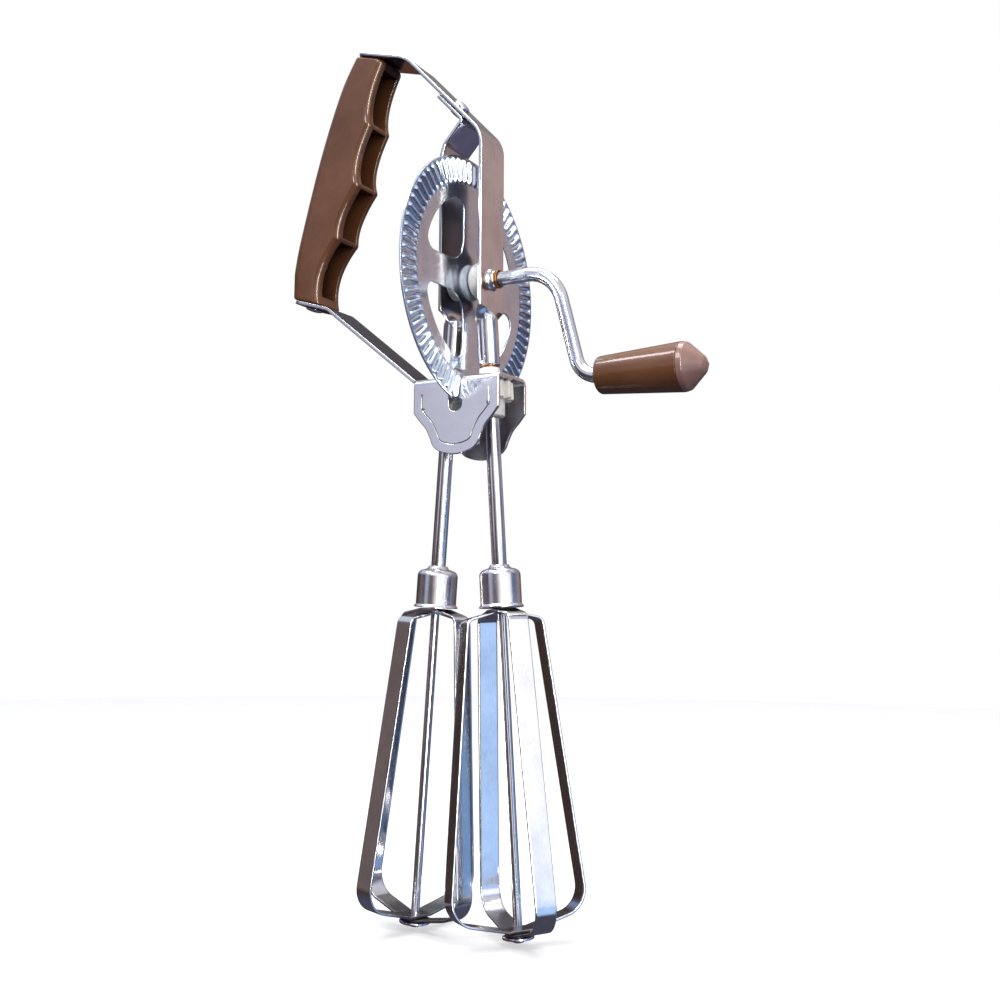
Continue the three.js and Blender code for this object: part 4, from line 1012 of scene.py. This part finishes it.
def ferruleMesh():
    radius, lip, end, inner = cup["radius"], cup["lip"], cup["end"], cup["radius"] - cup["wall"]
    outside = [
        (cup["bore"], cup["neckTop"]), (cup["neck"], cup["neckTop"], 0.15),
        (cup["throat"], cup["flare"] + 0.1, 0.7),
        (radius, cup["shoulder"], 2.1), (radius, cup["skirt"], 0.6), (lip, end + 0.35, 0.15),
        (lip, end, 0.12)]
    inside = [
        (lip - 0.45, end, 0.12), (inner, cup["skirt"], 1.2), (inner, cup["shoulder"] - 0.9, 1.2),
        (cup["innerThroat"], cup["flare"] - cup["drop"], 0.8),
        (cup["bore"], cup["flare"] - cup["drop"], 0.3)]
    return turned(outside + inside, sides=96)


def ringOf(inner, radius, top, end, edge=0.12):
    return turned([(inner, top, edge), (inner, end, edge), (radius, end, edge), (radius, top, edge)], steps=4)


for name, side in (("right", 1), ("left", -1)):
    body = "beater_" + name
    turn = beater["turns"][side]
    (flange, flangeTop, flangeEnd), (bush, bushEnd) = beater["flange"], beater["bushBody"]
    bore, bushBore = beater["bore"], beater["bushBore"]
    tubeTop, tubeEnd = beater["tubeTop"], cup["shoulder"] + 1.2
    bushProfile = [
        (bushBore, flangeTop, 0.1), (flange, flangeTop, 0.4), (flange, flangeEnd, 0.2),
        (bush, flangeEnd, 0.1), (bush, bushEnd, 0.2), (bushBore, bushEnd, 0.1)]
    tube = [(bore, tubeTop, 0.1), (beater["tube"], tubeTop, 0.3), (beater["tube"], tubeEnd, 0.1),
            (bore, tubeEnd, 0.1)]
    pieces = [
        ("sleeve_washer", ringOf(bushBore, *beater["sleeveWasher"]), "frame", "brass_washer", brass),
        ("plate_bush", turned(bushProfile, steps=5), "frame", "nylon", nylon),
        ("spindle", spindleMesh(), body, "rod_steel", rodSteel),
        ("pinion", pinionMesh(beater["pinionTurns"][side]), body, "nylon", nylon),
        ("shaft_tube", turned(tube, steps=5), body, "rod_steel", rodSteel),
        ("ferrule", ferruleMesh(), body, "cup_steel", cupSteel),
        ("outer_blades", bladeMesh(0, turn), body, "blade_steel", bladeSteel),
        ("inner_blades", bladeMesh(1, turn + 90), body, "blade_steel", bladeSteel),
        ("blade_washer", ringOf(bore, *bladeWasher, 0.2), body, "rivet_steel", rivetSteel),
    ]
    for kind, mesh, carrier, slot, finish in pieces:
        node = kind + "_" + name
        marks = bladeShadeMarks if slot == "blade_steel" else None
        makePiece(node + "_fine", onShaft(mesh, side), carrier, [node], finish, marks=marks)
print("beaters done")

# Hand grip: a moulded channel, open towards the fingers, with ribs behind the finger lips
handle = {
    "half": 6.9, "palmRound": 2.4, "lipRound": 2.5, "lipInner": 0.45, "wall": 3.05, "palmWall": 3.4,
    "rib": 1.7, "ribDrop": 0.4, "endWall": 3.2, "endRound": 0.7, "floorRound": 1.2, "step": 0.5,
    "endGaps": (0.05, 0.12, 0.22, 0.36), "wallGaps": (-0.25, -0.08, 0.12, 0.3), "ease": 0.7,
    "roundShare": 0.4, "endDrop": 0.03, "samples": 357, "palmSmooth": 9, "fingerSmooth": 7,
    # The last four: margin, start and fade of the painted shade in the pockets, and its strength on the top
    # end wall
    "shadeMargin": 0.4, "shadeStart": 0.5, "shadeFade": 3, "endShade": 0.85,
}
# Shares of the grip's length and depth
palmShares = [(0, 0.02), (0.1, -0.1388), (0.24, -0.205), (0.58, -0.2349), (0.85, -0.147), (1, 0.03)]
lipShares = [(0, 0.79), (0.274, 0.85), (0.497, 1), (0.738, 0.9), (0.985, 0.795)]
hollowShares = [(0.13, 0.61), (0.37, 0.8), (0.593, 0.82), (0.838, 0.735)]


def fingerCurve():
    points = []
    for low, hollow, high in zip(lipShares, hollowShares, lipShares[1:]):
        low, hollow, high = (np.array(share) for share in (low, hollow, high))
        control = 2 * hollow - (low + high) / 2
        for t in np.arange(24) / 24:
            points.append((1 - t) ** 2 * low + 2 * t * (1 - t) * control + t * t * high)
    points.append(np.array(lipShares[-1]))
    points.append(np.array((1, lipShares[-1][1] - 0.05)))
    return np.array(points)


def smoothed(values, width):
    kernel = np.hanning(width + 2)[1:-1]
    padded = np.concatenate([np.full(width, values[0]), values, np.full(width, values[-1])])
    return np.convolve(padded, kernel / kernel.sum(), "same")[width:-width]


def gripStations():
    ribs = [share * grip["length"] for share, _ in lipShares[1:-1]]
    walls = [handle["endWall"], grip["length"] - handle["endWall"]]
    steps = [*np.arange(0, grip["length"] + 0.01, handle["step"])]
    for base, wall, way in ((0, walls[0], 1), (grip["length"], walls[1], -1)):
        steps += [way * gap + base for gap in handle["endGaps"]]
        steps += [wall + way * gap for gap in handle["wallGaps"]]
    for middle in ribs:
        steps += [middle + way * (handle["rib"] / 2 + gap) for way in (-1, 1) for gap in handle["wallGaps"]]
    return np.array(sorted(set(np.round(steps, 3)))), ribs, walls


def gripMesh():
    along, ribs, walls = gripStations()
    dense = np.linspace(0, 1, handle["samples"])
    palmPath = curveThrough(palmShares[1:], 12)
    palmPath = np.vstack([[palmShares[0]], palmPath])
    palm = smoothed(np.interp(dense, *palmPath.T), handle["palmSmooth"]) * grip["depth"]
    fingers = smoothed(np.interp(dense, *fingerCurve().T), handle["fingerSmooth"]) * grip["depth"]
    rings = []
    for place in along:
        share = place / grip["length"]
        low, lip = np.interp(share, dense, palm), np.interp(share, dense, fingers)
        edge = min(place, grip["length"] - place)
        short = max(0, handle["endRound"] - edge)
        drawn = handle["endRound"] - math.sqrt(handle["endRound"] ** 2 - short ** 2)
        half, low, lip = handle["half"] - drawn, low + drawn, lip - drawn
        solid = any(abs(place - rib) < handle["rib"] / 2 for rib in ribs)
        atWall = place < walls[0] or place > walls[1]
        floor = low + handle["palmWall"]
        if solid or atWall:
            floor = lip - (handle["endDrop"] if atWall else handle["ribDrop"])
        most = handle["roundShare"] * (lip - floor)
        innerRound, floorRound = min(handle["lipInner"], most), min(handle["floorRound"], most)
        lipRound = min(handle["lipRound"], handle["wall"] - innerRound - 0.05)
        innerHalf = half - handle["wall"]
        side = [
            (0, low), (half, low, handle["palmRound"]), (half, low + handle["palmRound"] + handle["ease"]),
            (half, lip - lipRound - handle["ease"]), (half, lip, lipRound), (innerHalf, lip, innerRound),
            (innerHalf, floor, floorRound), (0, floor)]
        path = bend(side, steps=7)
        ring = np.vstack([path[:-1], (path * (-1, 1))[::-1][:-1]])
        spot = gripPoint(place, 0)
        rings.append(np.column_stack([
            spot[0] + gripAcross[0] * ring[:, 1], ring[:, 0], spot[1] + gripAcross[1] * ring[:, 1]]))
    return loft(rings)


# How deep a point lies inside the pockets, for the shade painted into their skin
def pocketShadeMarks(points):
    flat = points[:, [0, 2]] - gripHeel
    along, across = flat @ gripUp, flat @ gripAcross
    dense = np.linspace(0, 1, 200)
    lip = np.interp(along / grip["length"], dense, np.interp(dense, *fingerCurve().T)) * grip["depth"]
    palm = np.interp(along / grip["length"], *np.array(palmShares).T) * grip["depth"]
    inside = np.abs(points[:, 1]) < handle["half"] - handle["wall"] + handle["shadeMargin"]
    floor = palm + handle["palmWall"]
    deep = np.clip((lip - across - handle["shadeStart"]) / handle["shadeFade"], 0, 1)
    # Painted shade also on the top end wall, under the strip
    topWall = (along > grip["length"] - handle["endWall"] - 0.3) & (across > floor)
    return np.where(inside, np.maximum(deep * (across > floor - 0.8), handle["endShade"] * topWall), 0)


makePiece("hand_grip_fine", gripMesh(), "frame", ["hand_grip"], plastic, crease=42,
          marks=pocketShadeMarks)
print("grip done")

# Floor, backdrop and light
stage = {"floorDrop": 1.5, "floorRadius": 1.2, "aim": (0.02, 0, -0.1)}


def stageSheet(name, corners, finish):
    data = bpy.data.meshes.new(name)
    data.from_pydata(corners, [], [tuple(range(len(corners)))])
    data.materials.append(finish)
    made = bpy.data.objects.new(name, data)
    bpy.context.scene.collection.objects.link(made)
    return made


def floorFinish():
    finish = Finish("pale_floor")
    cloud = finish.noise(60, 3)
    colour = finish.mix(cloud, (0.62, 0.62, 0.62), (0.56, 0.56, 0.56))
    return finish.shade({"Base Color": colour, "Roughness": 0.7, "Emission Color": (1, 1, 1, 1),
                         "Emission Strength": 0.5})


floorZ = float(cadLow[2]) - stage["floorDrop"] * mm
floor = stageSheet("floor", [
    (stage["floorRadius"] * math.cos(a), stage["floorRadius"] * math.sin(a), floorZ)
    for a in around(96)], floorFinish())
floor.visible_glossy = floor.visible_diffuse = False


# The room as the metal sees it: colour by height, and tinted stretches (azimuth, elevation,
# angular radius in degrees, colour)
room = {
    "heights": [
        (0.0, (0.08, 0.08, 0.11)), (0.22, (0.08, 0.08, 0.12)), (0.34, (0.06, 0.05, 0.05)),
        (0.50, (0.09, 0.075, 0.075)), (0.64, (0.15, 0.16, 0.22)), (0.72, (0.38, 0.52, 0.86)),
        (0.82, (0.80, 0.83, 0.90)), (1.0, (0.74, 0.72, 0.70))],
    "stretches": [
        (-48, 8, 34, (0.92, 0.90, 0.87)), (27, 8, 17, (0.13, 0.21, 0.40)), (27, -18, 24, (0.25, 0.44, 0.76)),
        (58, 20, 25, (0.46, 0.34, 0.32)), (-15, 10, 22, (1.5, 1.5, 1.55)), (-15, -11, 19, (0.60, 0.86, 1.3)),
        (207, 8, 24, (0.19, 0.145, 0.14)), (165, -6, 28, (0.055, 0.036, 0.032)),
        (240, 11, 17, (0.70, 0.71, 0.82)), (223, 8, 13, (0.07, 0.07, 0.12)),
        (127, 10, 30, (0.07, 0.05, 0.045)), (86, 30, 20, (0.42, 0.32, 0.30)),
        (114, 32, 18, (0.22, 0.20, 0.19)), (135, -3, 18, (0.10, 0.042, 0.03)),
        (55, -31, 18, (0.10, 0.10, 0.17))],
    "core": 0.55, "backdrop": (1.0, 1.0, 1.0),
}


def makeWorld():
    world = bpy.data.worlds.new("studio")
    bpy.context.scene.world = world
    world.use_nodes = True
    tree = Tree(world.node_tree)
    way = tree.node("ShaderNodeTexCoord", out="Generated")
    sky = tree.ramp(tree.span(tree.part(way, "Z"), -1, 1), room["heights"])
    for azimuth, elevation, reach, colour in room["stretches"]:
        azimuth, elevation = math.radians(azimuth), math.radians(elevation)
        centre = (math.cos(elevation) * math.cos(azimuth), math.cos(elevation) * math.sin(azimuth),
                  math.sin(elevation))
        facing = tree.node("ShaderNodeVectorMath", {"operation": "DOT_PRODUCT"}, {0: way, 1: centre}, out=1)
        low, high = math.cos(math.radians(reach)), math.cos(math.radians(reach * room["core"]))
        sky = tree.mix(tree.span(facing, low, high), sky, colour)
    seen = tree.node("ShaderNodeLightPath", out="Is Camera Ray")
    colour = tree.mix(seen, sky, room["backdrop"])
    back = tree.node("ShaderNodeBackground", {}, {"Color": colour, "Strength": 1.0})
    tree.node("ShaderNodeOutputWorld", {}, {"Surface": back})


# Lamps by place, size and power; the two shines only light the glossy streaks
lamps = {
    "key": ((0.1, -0.8, 0.65), (0.4, 0.4), 6),
    "fill": ((0.7, -0.55, 0.1), (0.05, 0.7), 3, (1, 0.97, 0.93)),
    "top": ((0.1, 0.1, 0.75), (0.5, 0.4), 5),
    "lip_shine": ((0.62, -0.5, -0.02), (0.12, 0.8), 7, (1, 0.9, 0.75), True),
    "knob_shine": ((-0.3, -0.32, 0.68), (0.3, 0.14), 2.6, (0.92, 0.9, 1), True),
}


def areaLight(name, place, size, power, colour=(1, 1, 1), shineOnly=False):
    data = bpy.data.lights.new(name, "AREA")
    data.shape, data.size, data.size_y = "RECTANGLE", size[0], size[1]
    data.energy, data.color = power, colour
    lamp = bpy.data.objects.new(name, data)
    lamp.location = place
    lamp.rotation_euler = (Vector(stage["aim"]) - Vector(place)).to_track_quat("-Z", "Y").to_euler()
    lamp.visible_diffuse = not shineOnly
    bpy.context.scene.collection.objects.link(lamp)


makeWorld()
for name, values in lamps.items():
    areaLight(name, *values)
bpy.context.scene.view_settings.view_transform = "Standard"
print("stage and light done")
